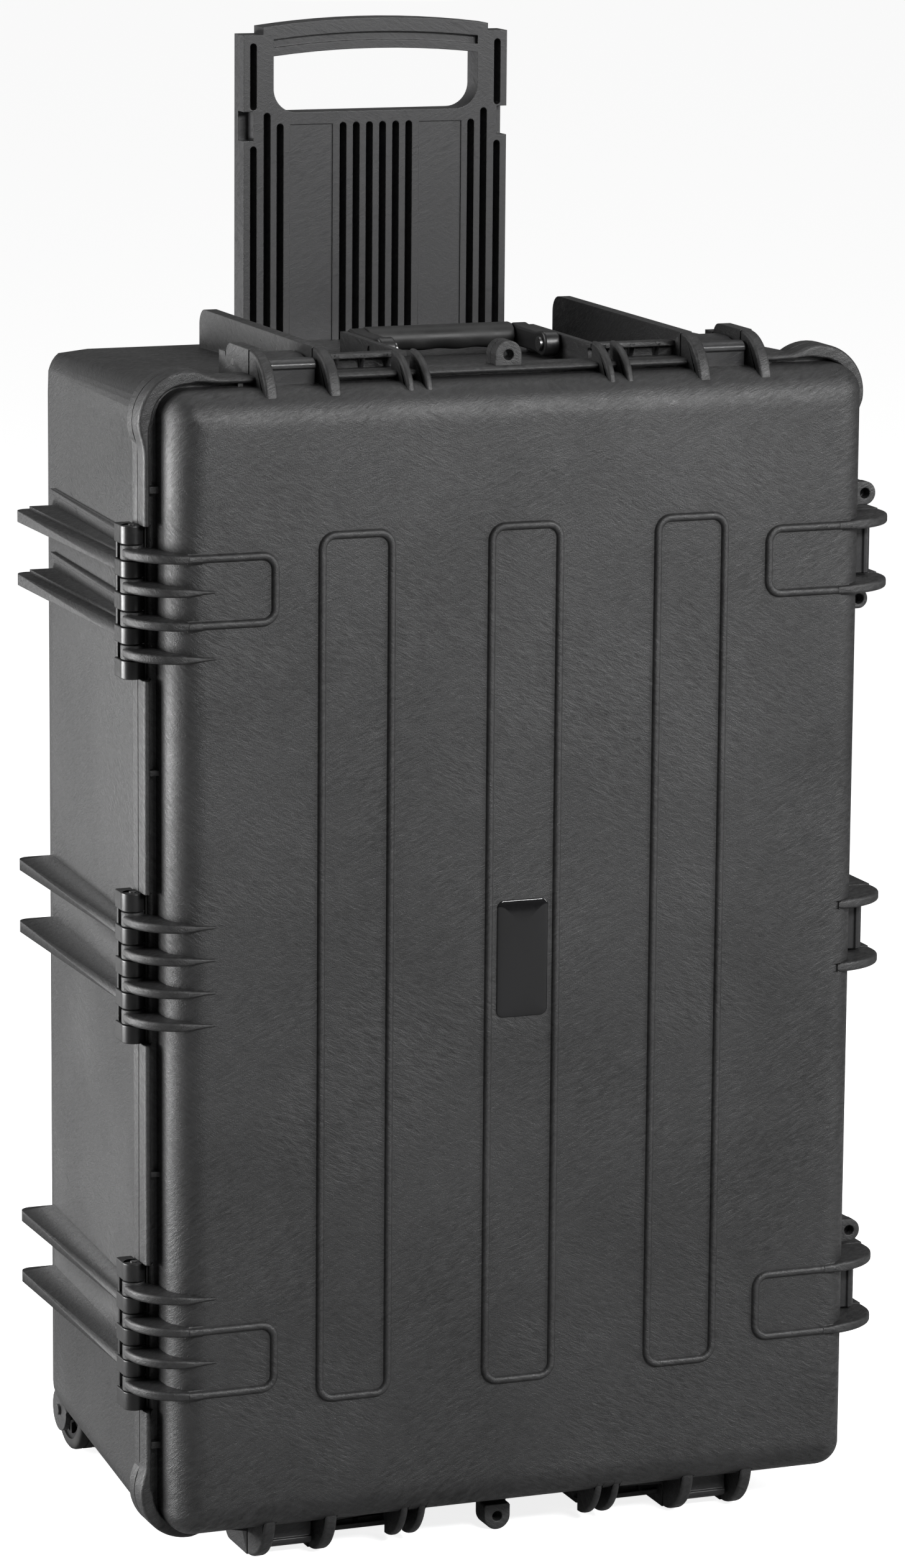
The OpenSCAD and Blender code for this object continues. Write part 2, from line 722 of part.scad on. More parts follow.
module latch_side(z) {
    width = 2 * latch_half - rib_t - 0.5 - 2 * side_gap;
    x0 = rim_hw;
    color(black) placed() difference() {
        along_z(z, width) multmatrix([[0, 1, 0, 0], [1, 0, 0, 0], [0, 0, 1, 0], [0, 0, 0, 1]])
            translate([0, x0]) lever_2d();
        translate([x0 + latch_rise, latch_pin_d, z]) cylinder(r = latch_pin_r + run_gap, h = 2 * width, center = true);
        translate([x0 + latch_rise + lever_r + 18, nose_front + 24, z]) cylinder(r = 20, h = width - 10, center = true);
    }
}

module latch_pins_right() {
    h = 2 * latch_half + rib_t;
    color(steel) placed() for (z = latch_z) translate([rim_hw + latch_rise, latch_pin_d, z]) cylinder(r = latch_pin_r, h = h, center = true);
}

module latch_pins_end(top) {
    h = 2 * latch_half + latch_rib_t;
    color(steel) placed() mirror([0, 0, top ? 0 : 1]) sides()
        translate([latch_x, latch_pin_d, rim_hh + latch_rise]) rotate([0, 90, 0]) cylinder(r = latch_pin_r, h = h, center = true);
}

// ---------- carry handles ----------

module carry_frame(top) {
    color(black) placed() mirror([0, 0, top ? 0 : 1]) difference() {
        union() {
            sides() along_x(stop_x - arm_t / 2, arm_t) union() {
                translate([pivot_d, pivot_z]) circle(9);
                translate([pivot_d, pivot_z - 7]) square([handle_arm, 14]);
                translate([pivot_d + handle_arm, pivot_z]) circle(8.5);
            }
            translate([0, pivot_d + handle_arm, pivot_z]) rotate([0, 90, 0]) cylinder(r = 5, h = handle_w - 4, center = true);
        }
        translate([0, pivot_d, pivot_z]) rotate([0, 90, 0]) cylinder(r = handle_pin_r + run_gap, h = 2 * handle_w, center = true);
    }
}

module carry_grip(top) {
    color(black) placed() mirror([0, 0, top ? 0 : 1]) translate([0, pivot_d + handle_arm, pivot_z]) rotate([0, 90, 0]) difference() {
        union() {
            cylinder(r = 9, h = grip_len, center = true);
            translate([0, 5, 0]) cylinder(r = 9, h = grip_len, center = true);
            translate([-9, 0, -grip_len / 2]) cube([18, 5, grip_len]);
        }
        cylinder(r = 5, h = grip_len + 2, center = true);
    }
}

module carry_screws(top) {
    color(steel) placed() mirror([0, 0, top ? 0 : 1]) sides() {
        translate([stop_x - arm_t - 2.2, pivot_d, pivot_z]) rotate([0, 90, 0]) cylinder(r = 5, h = 2);
        translate([stop_x - arm_t - 0.4, pivot_d, pivot_z]) rotate([0, 90, 0]) cylinder(r = handle_pin_r, h = arm_t + 5.5);
    }
}

// ---------- pull handle ----------

module pull_slot(x, z0, z1, w = 5.2) {
    r = w / 2;
    for (z = [z0 + r, z1 - r]) translate([x, pull_front - 1, z]) rotate([-90, 0, 0]) cylinder(r = r, h = 14);
    translate([x - r, pull_front - 1, z0 + r]) cube([w, 14, z1 - z0 - w]);
}

module pull_handle() {
    hw = pull_w / 2;
    arch_hw = hw - 15;
    arch_rise = 5.5;
    arch_top = 11;
    arch_r = (pow(arch_hw, 2) + pow(arch_rise, 2)) / (2 * arch_rise);
    open_hw = hw - 23;
    open_r = 17;
    open_top = pull_top - 16;
    open_low = pull_top - 56;
    slot_low = pull_bottom + 24;
    color(black) placed() difference() {
        union() {
            along_y(pull_front, pull_front + pull_t) union() {
                translate([-hw, pull_bottom]) square([pull_w, pull_len]);
                intersection() {
                    translate([-arch_hw, pull_top - 2]) square([2 * arch_hw, arch_top + 3]);
                    translate([0, pull_top + arch_top - arch_r]) circle(arch_r, $fn = 180);
                }
                translate([-hw - shoulder + 0.5, pull_bottom]) square([pull_w + 2 * shoulder - 1, 19.5]);
            }
        }
        // grip opening with big lower corners and an arched top
        along_y(pull_front - 5, pull_front + pull_t + 5) difference() {
            union() {
                translate([-open_hw, open_low + open_r]) square([2 * open_hw, open_top + 6 - open_low - open_r]);
                translate([-open_hw + open_r, open_low]) square([2 * (open_hw - open_r), 30]);
                for (s = [-1, 1]) translate([s * (open_hw - open_r), open_low + open_r]) circle(open_r);
            }
            translate([-hw, open_top + 5]) square([pull_w, 30]);
            difference() {
                translate([-hw, open_top - 6]) square([pull_w, 40]);
                translate([0, open_top + 5 - arch_r]) circle(arch_r, $fn = 180);
            }
        }
        // long groove in the grip bar
        along_y(pull_front - 1, pull_front + 4) intersection() {
            translate([-open_hw, open_top - 20]) square([2 * open_hw, 60]);
            difference() {
                translate([0, open_top + 17 - arch_r]) circle(arch_r, $fn = 180);
                translate([0, open_top + 11 - arch_r]) circle(arch_r, $fn = 180);
            }
        }
        // notches in the edges
        for (s = [-1, 1]) translate([s * hw, pull_front + 6, pull_top - 65.5]) cube([15, 12.1, 21], center = true);
        for (s = [-1, 1]) {
            pull_slot(s * (hw - 7.5), pull_top - 54, pull_top - 6, 5);
            pull_slot(s * (hw - 7.5), slot_low, pull_top - 80, 5);
            pull_slot(s * (hw - 18), slot_low, pull_top - 56);
            pull_slot(s * (hw - 28), slot_low, pull_top - 64);
            translate([s * (hw - 52) - 16.5, pull_front - 1, slot_low]) cube([33, 1.8, pull_top - 65 - slot_low]);
        }
        for (k = [-2.5:2.5]) pull_slot(k * 10.2, slot_low, pull_top - 64);
    }
}

module rear_cover() {
    color(black) placed() difference() {
        union() {
            translate([-cover_hw, channel_back, channel_low - 12]) cube([2 * cover_hw, back_d - channel_back, cover_top - channel_low + 12]);
            for (x = [-2:2]) translate([x * cover_hw / 2.8 - 3, back_d - 1, channel_low + 6]) cube([6, 3.5, cover_top - channel_low - 24]);
        }
        cover_screw_places() rotate([-90, 0, 0]) translate([0, 0, -1]) cylinder(r = 2.2, h = 30);
        cover_screw_places() rotate([-90, 0, 0]) translate([0, 0, back_d - channel_back - 2.4]) cylinder(r = 4.2, h = 30);
    }
}

module cover_screws() {
    color(steel) placed() cover_screw_places() rotate([-90, 0, 0]) {
        difference() {
            translate([0, 0, back_d - channel_back - 2.35]) cylinder(r = 3.8, h = 2.2);
            for (a = [0, 90]) rotate([0, 0, a]) translate([0, 0, back_d - channel_back + 0.1]) cube([4.4, 0.9, 1.6], center = true);
        }
        translate([0, 0, -8]) cylinder(r = 1.75, h = back_d - channel_back + 6);
    }
}

// ---------- wheels ----------

module wheel(side) {
    x = side * wheel_mid;
    color(black) placed() translate([x, wheel_d, wheel_z]) rotate([0, 90, 0]) difference() {
        union() {
            cylinder(r = rim_radius - 0.1, h = wheel_w - 4, center = true);
            cylinder(r = 9, h = wheel_w + 3, center = true);
        }
        cylinder(r = axle_r + run_gap, h = wheel_w + 10, center = true);
        for (s = [-1, 1]) translate([0, 0, s * wheel_w / 2]) difference() {
            cylinder(r = rim_radius - 4, h = wheel_w - 10, center = true);
            cylinder(r = 11, h = wheel_w, center = true);
            for (a = [0:60:300]) rotate([0, 0, a]) translate([0, -1.75, -wheel_w / 2]) cube([rim_radius, 3.5, wheel_w]);
        }
    }
}

module tyre(side) {
    e = 3;
    color(black) placed() translate([side * wheel_mid, wheel_d, wheel_z]) rotate([0, 90, 0]) rotate_extrude() union() {
        translate([rim_radius, -wheel_w / 2 + e]) square([wheel_r - rim_radius, wheel_w - 2 * e]);
        translate([rim_radius, -wheel_w / 2]) square([wheel_r - rim_radius - e, wheel_w]);
        for (s = [-1, 1]) translate([wheel_r - e, s * (wheel_w / 2 - e)]) circle(e);
    }
}

module axle(side) {
    color(steel) placed() mirror([side < 0 ? 1 : 0, 0, 0]) translate([axle_in, wheel_d, wheel_z]) rotate([0, 90, 0]) cylinder(r = axle_r, h = axle_out - axle_in);
}

// ---------- valve ----------

function valve_x() = base_hw_at(valve_d);
module valve_body() {
    color(black) placed() translate([valve_x(), valve_d, valve_z]) rotate([0, 90, 0]) {
        translate([0, 0, -wall - 8]) cylinder(r = valve_r - 0.05, h = wall + 9);
        translate([0, 0, 1]) cylinder(r = 15, h = 3);
    }
}
module valve_cap() {
    color(steel) placed() translate([valve_x() + 4, valve_d, valve_z]) rotate([0, 90, 0]) difference() {
        cylinder(r = 10, h = 5);
        for (a = [0:30:330]) rotate([0, 0, a]) translate([10.6, 0, -1]) cylinder(r = 1.2, h = 8);
    }
}
module valve_nut() {
    color(black) placed() translate([valve_x() - wall - 6.5, valve_d, valve_z]) rotate([0, 90, 0]) difference() {
        cylinder(r = 14, h = 5, $fn = 6);
        translate([0, 0, -1]) cylinder(r = valve_r, h = 7);
    }
}

base_shell();
lid_shell();
lid_seal();
badge();
hinge_block(hinge_z[0]);  // hinge_block_top
hinge_block(hinge_z[1]);  // hinge_block_middle
hinge_block(hinge_z[2]);  // hinge_block_bottom
hinge_pin(hinge_z[0]);  // hinge_pin_top
hinge_pin(hinge_z[1]);  // hinge_pin_middle
hinge_pin(hinge_z[2]);  // hinge_pin_bottom
latch_side(latch_z[0]);  // latch_right_top
latch_side(latch_z[1]);  // latch_right_middle
latch_side(latch_z[2]);  // latch_right_bottom
latch_end(-latch_x, true);  // latch_top_left
latch_end(latch_x, true);  // latch_top_right
latch_end(-latch_x, false);  // latch_bottom_left
latch_end(latch_x, false);  // latch_bottom_right
latch_pins_right();
latch_pins_end(true);  // latch_pins_top
latch_pins_end(false);  // latch_pins_bottom
carry_frame(true);  // carry_frame_top
carry_frame(false);  // carry_frame_bottom
carry_grip(true);  // carry_grip_top
carry_grip(false);  // carry_grip_bottom
carry_screws(true);  // carry_screws_top
carry_screws(false);  // carry_screws_bottom
pull_handle();
rear_cover();
cover_screws();
wheel(-1);  // wheel_left
wheel(1);  // wheel_right
tyre(-1);  // tyre_left
tyre(1);  // tyre_right
axle(-1);  // axle_left
axle(1);  // axle_right
valve_body();
valve_cap();
valve_nut();
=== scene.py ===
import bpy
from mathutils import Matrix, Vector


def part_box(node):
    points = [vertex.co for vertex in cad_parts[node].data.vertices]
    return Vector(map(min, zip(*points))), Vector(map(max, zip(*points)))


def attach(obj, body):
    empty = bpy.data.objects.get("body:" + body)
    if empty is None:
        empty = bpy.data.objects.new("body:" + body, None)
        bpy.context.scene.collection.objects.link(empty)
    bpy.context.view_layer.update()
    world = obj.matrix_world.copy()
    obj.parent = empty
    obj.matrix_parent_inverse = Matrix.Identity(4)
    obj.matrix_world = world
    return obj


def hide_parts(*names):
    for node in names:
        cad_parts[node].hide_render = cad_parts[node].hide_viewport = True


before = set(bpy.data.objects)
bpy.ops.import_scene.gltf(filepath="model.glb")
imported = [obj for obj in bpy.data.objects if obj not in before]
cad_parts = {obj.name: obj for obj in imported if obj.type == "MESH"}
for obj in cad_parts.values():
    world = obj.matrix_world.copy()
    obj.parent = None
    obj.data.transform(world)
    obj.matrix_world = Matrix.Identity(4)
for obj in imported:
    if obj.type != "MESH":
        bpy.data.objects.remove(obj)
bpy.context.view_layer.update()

import logging
import math
from dataclasses import dataclass, field
from enum import Enum

import bmesh
import bpy
import numpy as np
from mathutils import Matrix, Vector

log = logging.getLogger("equipment_case")
Array = np.ndarray
Socket = bpy.types.NodeSocket
Pair = tuple[float, float]
Triple = tuple[float, float, float]
MM = 0.001
TINY = 1e-9  # keeps a division by a length safe
SHARPEST = 0.35  # least 1 + cos of a corner that an inset follows
LEAST_CUT = 0.02  # least cut of a rounded corner, in millimetres


class Plane(Enum):
    """The plane that a flat outline is drawn in."""

    SIDE = "x and depth, thick in z"
    END = "depth and z, thick in x"
    FACE = "x and z, thick in depth"


class Axis(Enum):
    """The direction a turned piece is turned about."""

    X = 0
    DEPTH = 1
    Z = 2


class Slot(Enum):
    """Material slots of the record."""

    SHELL = "shell"
    LATCH = "latch"
    HANDLE = "handle"
    GLOSS = "gloss_black"
    GRIP = "grip"
    STEEL = "steel"
    BADGE = "badge"
    SEAL = "seal"
    TYRE = "tyre"


# ---------- surfaces ----------


@dataclass
class Surface:
    """Points in the case's own millimetres (x, depth behind the lid face, z from mid-height), quads and flat caps."""

    points: Array
    quads: Array
    caps: list[list[int]] = field(default_factory=list)

    def volume(self) -> float:
        """Six times the signed volume: the sum of a . (b x c) over fan triangles."""
        q = self.points[self.quads]
        total = np.einsum("ij,ij->", q[:, 0], np.cross(q[:, 1], q[:, 2]))
        total += np.einsum("ij,ij->", q[:, 0], np.cross(q[:, 2], q[:, 3]))
        for cap in self.caps:
            c = self.points[cap]
            total += np.einsum("ij,ij->", np.repeat(c[:1], len(c) - 2, 0), np.cross(c[1:-1], c[2:]))
        return float(total)

    def outward(self) -> "Surface":
        """The same closed surface with its faces pointing out."""
        if self.volume() >= 0:
            return self
        return Surface(self.points, self.quads[:, ::-1], [cap[::-1] for cap in self.caps])

    def mirrored(self, axis: Axis) -> "Surface":
        """The surface reflected through the middle plane across an axis, faces still out."""
        points = self.points.copy()
        points[:, axis.value] *= -1
        return Surface(points, self.quads[:, ::-1], [cap[::-1] for cap in self.caps])

    def moved(self, offset: Triple) -> "Surface":
        """The surface shifted by an offset in millimetres."""
        return Surface(self.points + np.array(offset, float), self.quads, self.caps)

    def sideways(self, offset: Triple) -> "Surface":
        """What was drawn at the top, at the right side: x and z change places, then comes an offset in millimetres."""
        return Surface(self.points[:, [2, 1, 0]] + np.array(offset, float), self.quads, self.caps).outward()


def joined(parts: list[Surface]) -> Surface:
    """One surface that holds several.

    Args:
        parts: surfaces, each closed in itself.

    Returns:
        Their points in a row, with the faces renumbered.
    """
    starts = np.cumsum([0] + [len(p.points) for p in parts[:-1]])
    quads = [p.quads + s for p, s in zip(parts, starts)]
    caps = [[int(i + s) for i in cap] for p, s in zip(parts, starts) for cap in p.caps]
    return Surface(np.concatenate([p.points for p in parts]), np.concatenate(quads), caps)


def skinned(rings: Array, looped: bool = False) -> Surface:
    """Quads between neighbouring rings: ring k joins ring k + 1, and point i joins point i + 1, round to the first.

    Args:
        rings: array (rings, points, 3).
        looped: joins the last ring to the first, as on a hoop, in place of flat faces on both.

    Returns:
        The closed surface, faces out.
    """
    count, size, _ = rings.shape
    index = np.arange(count * size).reshape(count, size)
    here = index if looped else index[:-1]
    there = np.roll(index, -1, axis=0) if looped else index[1:]
    corners = [here, np.roll(here, -1, axis=1), np.roll(there, -1, axis=1), there]
    quads = np.stack(corners, axis=-1).reshape(-1, 4)
    caps = [] if looped else [index[0, ::-1].tolist(), index[-1].tolist()]
    return Surface(rings.reshape(-1, 3), quads, caps).outward()


def laid(outline: Array, level: float, plane: Plane) -> Array:
    """A flat outline put in space at a level of its plane."""
    u, v = outline[:, 0], outline[:, 1]
    w = np.full_like(u, level)
    order = {Plane.SIDE: (u, v, w), Plane.END: (w, u, v), Plane.FACE: (u, w, v)}
    return np.stack(order[plane], axis=-1)


def rounded(corners: list[Triple], steps: int = 5) -> Array:
    """An outline with each corner cut back by a tangent curve.

    Between the tangent points A and B of corner P the curve is (1 - s)^2 A + 2 s (1 - s) P + s^2 B.

    Args:
        corners: (u, v, cut) for each corner, with cut the distance from the corner to the tangent points.
        steps: segments of each curve.

    Returns:
        Array (points, 2).
    """
    c = np.array(corners, float)
    p, cut = c[:, :2], np.maximum(c[:, 2], LEAST_CUT)[:, None]
    to_last, to_next = np.roll(p, 1, axis=0) - p, np.roll(p, -1, axis=0) - p
    a = p + cut * to_last / lengths(to_last)
    b = p + cut * to_next / lengths(to_next)
    s = np.linspace(0, 1, steps + 1)[None, :, None]
    curve = (1 - s) ** 2 * a[:, None] + 2 * s * (1 - s) * p[:, None] + s**2 * b[:, None]
    return curve.reshape(-1, 2)


def arc(u: float, v: float, radius: float, start: float, end: float, steps: int) -> Array:
    """Points (u + r cos t, v + r sin t) for t from start to end, in degrees."""
    t = np.radians(np.linspace(start, end, steps + 1))
    return np.stack([u + radius * np.cos(t), v + radius * np.sin(t)], axis=-1)


def near_any(values: Array, places: Array | Triple, reach: float) -> Array:
    """Whether each value lies within reach of one of the places."""
    return np.min(np.abs(values[:, None] - np.array(places)[None]), axis=1) < reach


def lengths(steps: Array) -> Array:
    """Length of each row, kept as a column."""
    return np.linalg.norm(steps, axis=1, keepdims=True)


def area(loop: Array) -> float:
    """Signed area of a closed outline, positive when it runs anticlockwise."""
    nxt = np.roll(loop, -1, axis=0)
    return float(np.sum(loop[:, 0] * nxt[:, 1] - nxt[:, 0] * loop[:, 1]) / 2)


def inset(loop: Array, amount: float) -> Array:
    """An anticlockwise outline moved in by an amount.

    Point P goes to P + amount (m + n) / (1 + m . n), with m and n the inward normals beside P.

    Args:
        loop: array (points, 2).
        amount: how far in it goes.

    Returns:
        Array (points, 2).
    """
    before, after = loop - np.roll(loop, 1, axis=0), np.roll(loop, -1, axis=0) - loop
    m = np.stack([-before[:, 1], before[:, 0]], -1) / np.maximum(lengths(before), TINY)
    n = np.stack([-after[:, 1], after[:, 0]], -1) / np.maximum(lengths(after), TINY)
    dot = np.sum(m * n, axis=1, keepdims=True)
    return loop + amount * (m + n) / np.maximum(1 + dot, SHARPEST)


def plate(outline: Array, plane: Plane, middle: float, thick: float, edge: float = 1.2, steps: int = 3) -> Surface:
    """A flat plate whose rim is rounded on both sides.

    At angle t from 0 to 90 degrees a ring lies e (1 - sin t) in from the outline and e (1 - cos t) below the flat side.

    Args:
        outline: array (points, 2) in the plane.
        plane: the plane of the outline.
        middle: where the middle of the plate lies across the plane.
        thick: the plate's thickness.
        edge: radius e of the rim.
        steps: segments of each rounding.

    Returns:
        The closed plate.
    """
    loop = outline if area(outline) > 0 else outline[::-1]
    t = np.radians(np.linspace(0, 90, steps + 1))
    inward, drop = edge * (1 - np.sin(t)), edge * (1 - np.cos(t))
    levels = [(i, thick / 2 - d) for i, d in zip(inward, drop)]
    levels += [(i, -level) for i, level in reversed(levels)]
    return skinned(np.stack([laid(inset(loop, i), middle + level, plane) for i, level in levels]))


def turned(profile: list[Pair], axis: Axis, centre: Triple, steps: int, looped: bool = False) -> Surface:
    """A piece turned about an axis: the ring of profile point (r, h) is centre + h axis + r (cos t, sin t) across it.

    Args:
        profile: (radius, distance along the axis), first to last.
        axis: the axis of turning.
        centre: a point on it.
        steps: points round.
        looped: joins the last profile point to the first, as on a tyre.

    Returns:
        The closed surface.
    """
    r, h = np.array(profile, float).T
    t = np.linspace(0, 2 * np.pi, steps, endpoint=False)
    across = [i for i in range(3) if i != axis.value]
    rings = np.zeros((len(r), steps, 3))
    rings[..., axis.value] = h[:, None]
    rings[..., across[0]] = r[:, None] * np.cos(t)
    rings[..., across[1]] = r[:, None] * np.sin(t)
    return skinned(rings + np.array(centre, float), looped)


def swept(path: Array, section: Array, closed: bool) -> Surface:
    """A section carried along a path that lies in the lid face.

    A section point (side, depth) lands at path + side * n, with n the path's normal in the face.

    Args:
        path: array (points, 2) of x and z.
        section: array (points, 2) of distance to the side and depth.
        closed: joins the end of the path to its start.

    Returns:
        The surface.
    """
    if closed:
        tangent = np.roll(path, -1, axis=0) - np.roll(path, 1, axis=0)
    else:
        tangent = np.gradient(path, axis=0)
    tangent /= lengths(tangent)
    normal = np.stack([tangent[:, 1], -tangent[:, 0]], -1)
    flat = path[:, None] + normal[:, None] * section[None, :, :1]
    depth = np.broadcast_to(section[None, :, 1], flat.shape[:2])
    return skinned(np.stack([flat[..., 0], depth, flat[..., 1]], -1), looped=closed)


@dataclass(frozen=True)
class Datum:
    """Where the case's own axes lie in the row frame, in metres."""

    face: float
    middle: float

    def place(self, points: Array) -> Array:
        """Case millimetres to row frame metres."""
        return points * MM + np.array([0.0, self.face, self.middle])


@dataclass(frozen=True)
class Case:
    """Main sizes of the case, in millimetres: the frame's, but for the lid, the lobes and the right-hand ribs."""

    half_w: float = 280
    half_h: float = 430
    rim_w: float = 268
    rim_h: float = 413
    rim_r: float = 40
    bumper: float = 6
    lid_w: float = 258.5
    lid_h: float = 404
    lid_r: float = 19
    lid_round: float = 24
    lid_centre: Pair = (2.0, 2.0)
    rim_low: float = 405
    rim_right: float = 265
    lobe: float = 35
    lobe_left: float = 272
    lobe_right: float = 269.5
    lobe_top: float = 419
    lobe_low: float = 408
    rib_right: float = 289
    wall: float = 4.5
    parting: float = 45
    flange: float = 30
    gap: float = 0.15
    bead: float = 3
    hinge_x: float = -272
    hinge_z: Triple = (260.0, 4.0, -260.0)
    knuckle_r: float = 8.0
    pitch: float = 23
    latch_z: Triple = (271.5, -3.01, -271.5)
    latch_x: float = 160.44
    latch_half: float = 23
    pin_depth: float = 78
    rise: float = 4.6
    pivot_depth: float = 115
    pivot_z: float = 416.5
    arm: float = 55


CASE = Case()
RIB_STEPS = (-1.5, -0.5, 0.5, 1.5)  # hinge ribs from the middle of their group, in pitches


def knuckle(z: float, half: float, bore: float, edge: float) -> Surface:
    """A hinge knuckle, turned about the hinge axis.

    Args:
        z: its middle.
        half: half of its length.
        bore: radius where its end faces stop.
        edge: radius of its rims.

    Returns:
        The closed surface.
    """
    r, slope = CASE.knuckle_r, 0.3 * edge
    side = [(bore, half), (r - edge, half), (r - slope, half - slope), (r, half - edge)]
    profile = [(a, -b) for a, b in side] + side[::-1]
    return turned(profile, Axis.Z, (CASE.hinge_x, CASE.parting, z), 40)


def linked(name: str, data: bpy.types.ID) -> bpy.types.Object:
    """A new object in the scene that holds some data."""
    made = bpy.data.objects.new(name, data)
    bpy.context.scene.collection.objects.link(made)
    return made


def smoothed(name: str, mesh: bpy.types.Mesh, sharp: float) -> bpy.types.Object:
    """An object in the scene with a smooth mesh and even normals.

    Args:
        name: the object's name.
        mesh: its mesh.
        sharp: edges over this angle stay sharp, in degrees.

    Returns:
        The object.
    """
    mesh.shade_smooth()
    mesh.set_sharp_from_angle(angle=math.radians(sharp))
    mesh.update()
    made = linked(name, mesh)
    made.modifiers.new("even_normals", "WEIGHTED_NORMAL").keep_sharp = True
    return made


# ---------- finishes ----------


class Nodes:
    """Short way to write a node material."""

    def __init__(self, name: str) -> None:
        """Starts a material of that name with an empty tree."""
        self.material = bpy.data.materials.new(name)
        self.material.use_nodes = True
        self.tree = self.material.node_tree
        self.tree.nodes.clear()
        self.coordinates = self.add("ShaderNodeTexCoord").outputs["Object"]

    def add(self, kind: str, **values: object) -> bpy.types.Node:
        """A node with its properties and sockets set; a socket is named by its label with underscores."""
        node = self.tree.nodes.new(kind)
        for key, value in values.items():
            if hasattr(node, key):
                setattr(node, key, value)
            else:
                self.feed(node.inputs[key.replace("_", " ")], value)
        return node

    def feed(self, socket: Socket, value: object) -> None:
        """Links a socket to another, or sets its own value."""
        if isinstance(value, Socket):
            self.tree.links.new(value, socket)
        else:
            socket.default_value = value

    def noise(
        self,
        scale: float,
        stretch: Triple = (1, 1, 1),
        turn: Triple = (0, 0, 0),
        detail: float = 4.0,
        rough: float = 0.55,
        twist: float = 0.0,
    ) -> Socket:
        """Noise on object coordinates.

        Args:
            scale: waves in a metre, before the stretch.
            stretch: how far it is drawn out along its own axes.
            turn: angles that it is then turned by, in degrees.
            detail: octaves.
            rough: share of the finer octaves.
            twist: distortion.

        Returns:
            The noise, about 0.5.
        """
        angles = tuple(math.radians(a) for a in turn)
        mapping = self.add(
            "ShaderNodeMapping", vector_type="TEXTURE", Vector=self.coordinates, Scale=stretch, Rotation=angles
        )
        values = {"Scale": scale, "Detail": detail, "Roughness": rough, "Distortion": twist}
        return self.add("ShaderNodeTexNoise", Vector=mapping.outputs[0], **values).outputs[0]

    def ranged(self, value: Socket, low: float, high: float, out_low: float, out_high: float) -> Socket:
        """A value taken from one range to another and held there."""
        ends = {"From_Min": low, "From_Max": high, "To_Min": out_low, "To_Max": out_high}
        return self.add("ShaderNodeMapRange", Value=value, **ends).outputs[0]

    def maths(self, what: str, a: object, b: object) -> Socket:
        """One arithmetic step."""
        node = self.add("ShaderNodeMath", operation=what)
        self.feed(node.inputs[0], a)
        self.feed(node.inputs[1], b)
        return node.outputs[0]

    def shade(self, value: Socket, dark: Triple, light: Triple) -> Socket:
        """A colour between two, by a value from 0 to 1."""
        node = self.add("ShaderNodeMix", data_type="RGBA")
        self.feed(node.inputs["Factor"], value)
        node.inputs[6].default_value = (*dark, 1)
        node.inputs[7].default_value = (*light, 1)
        return node.outputs[2]

    def rounded_normal(self, radius: float) -> Socket:
        """The surface normal with edges rounded over a radius in metres."""
        return self.add("ShaderNodeBevel", samples=4, Radius=radius).outputs[0]

    def mixed(self, share: Socket, first: Socket, second: Socket) -> Socket:
        """One value at share 0 and another at share 1."""
        node = self.add("ShaderNodeMix", data_type="FLOAT")
        for index, value in enumerate((share, None, first, second)):
            if value is not None:
                self.feed(node.inputs[index], value)
        return node.outputs[0]

    def bump(self, height: Socket, strength: float, distance: float, normal: Socket | None = None) -> Socket:
        """A bumped normal from a height, in metres of distance."""
        node = self.add("ShaderNodeBump", Height=height, Strength=strength, Distance=distance)
        if normal is not None:
            self.feed(node.inputs["Normal"], normal)
        return node.outputs[0]

    def finish(
        self, colour: object, roughness: object, normal: Socket | None, **constants: float
    ) -> bpy.types.Material:
        """Puts the principled shader and the output behind the sockets.

        Args:
            colour: base colour, a socket or a value.
            roughness: a socket or a value.
            normal: the bumped normal, if any.
            constants: other values of the shader, named with underscores.

        Returns:
            The material.
        """
        shader = self.add("ShaderNodeBsdfPrincipled")
        self.feed(shader.inputs["Base Color"], colour)
        self.feed(shader.inputs["Roughness"], roughness)
        if normal is not None:
            self.feed(shader.inputs["Normal"], normal)
        for key, value in constants.items():
            shader.inputs[key.replace("_", " ")].default_value = value
        out = self.add("ShaderNodeOutputMaterial")
        self.feed(out.inputs["Surface"], shader.outputs[0])
        return self.material


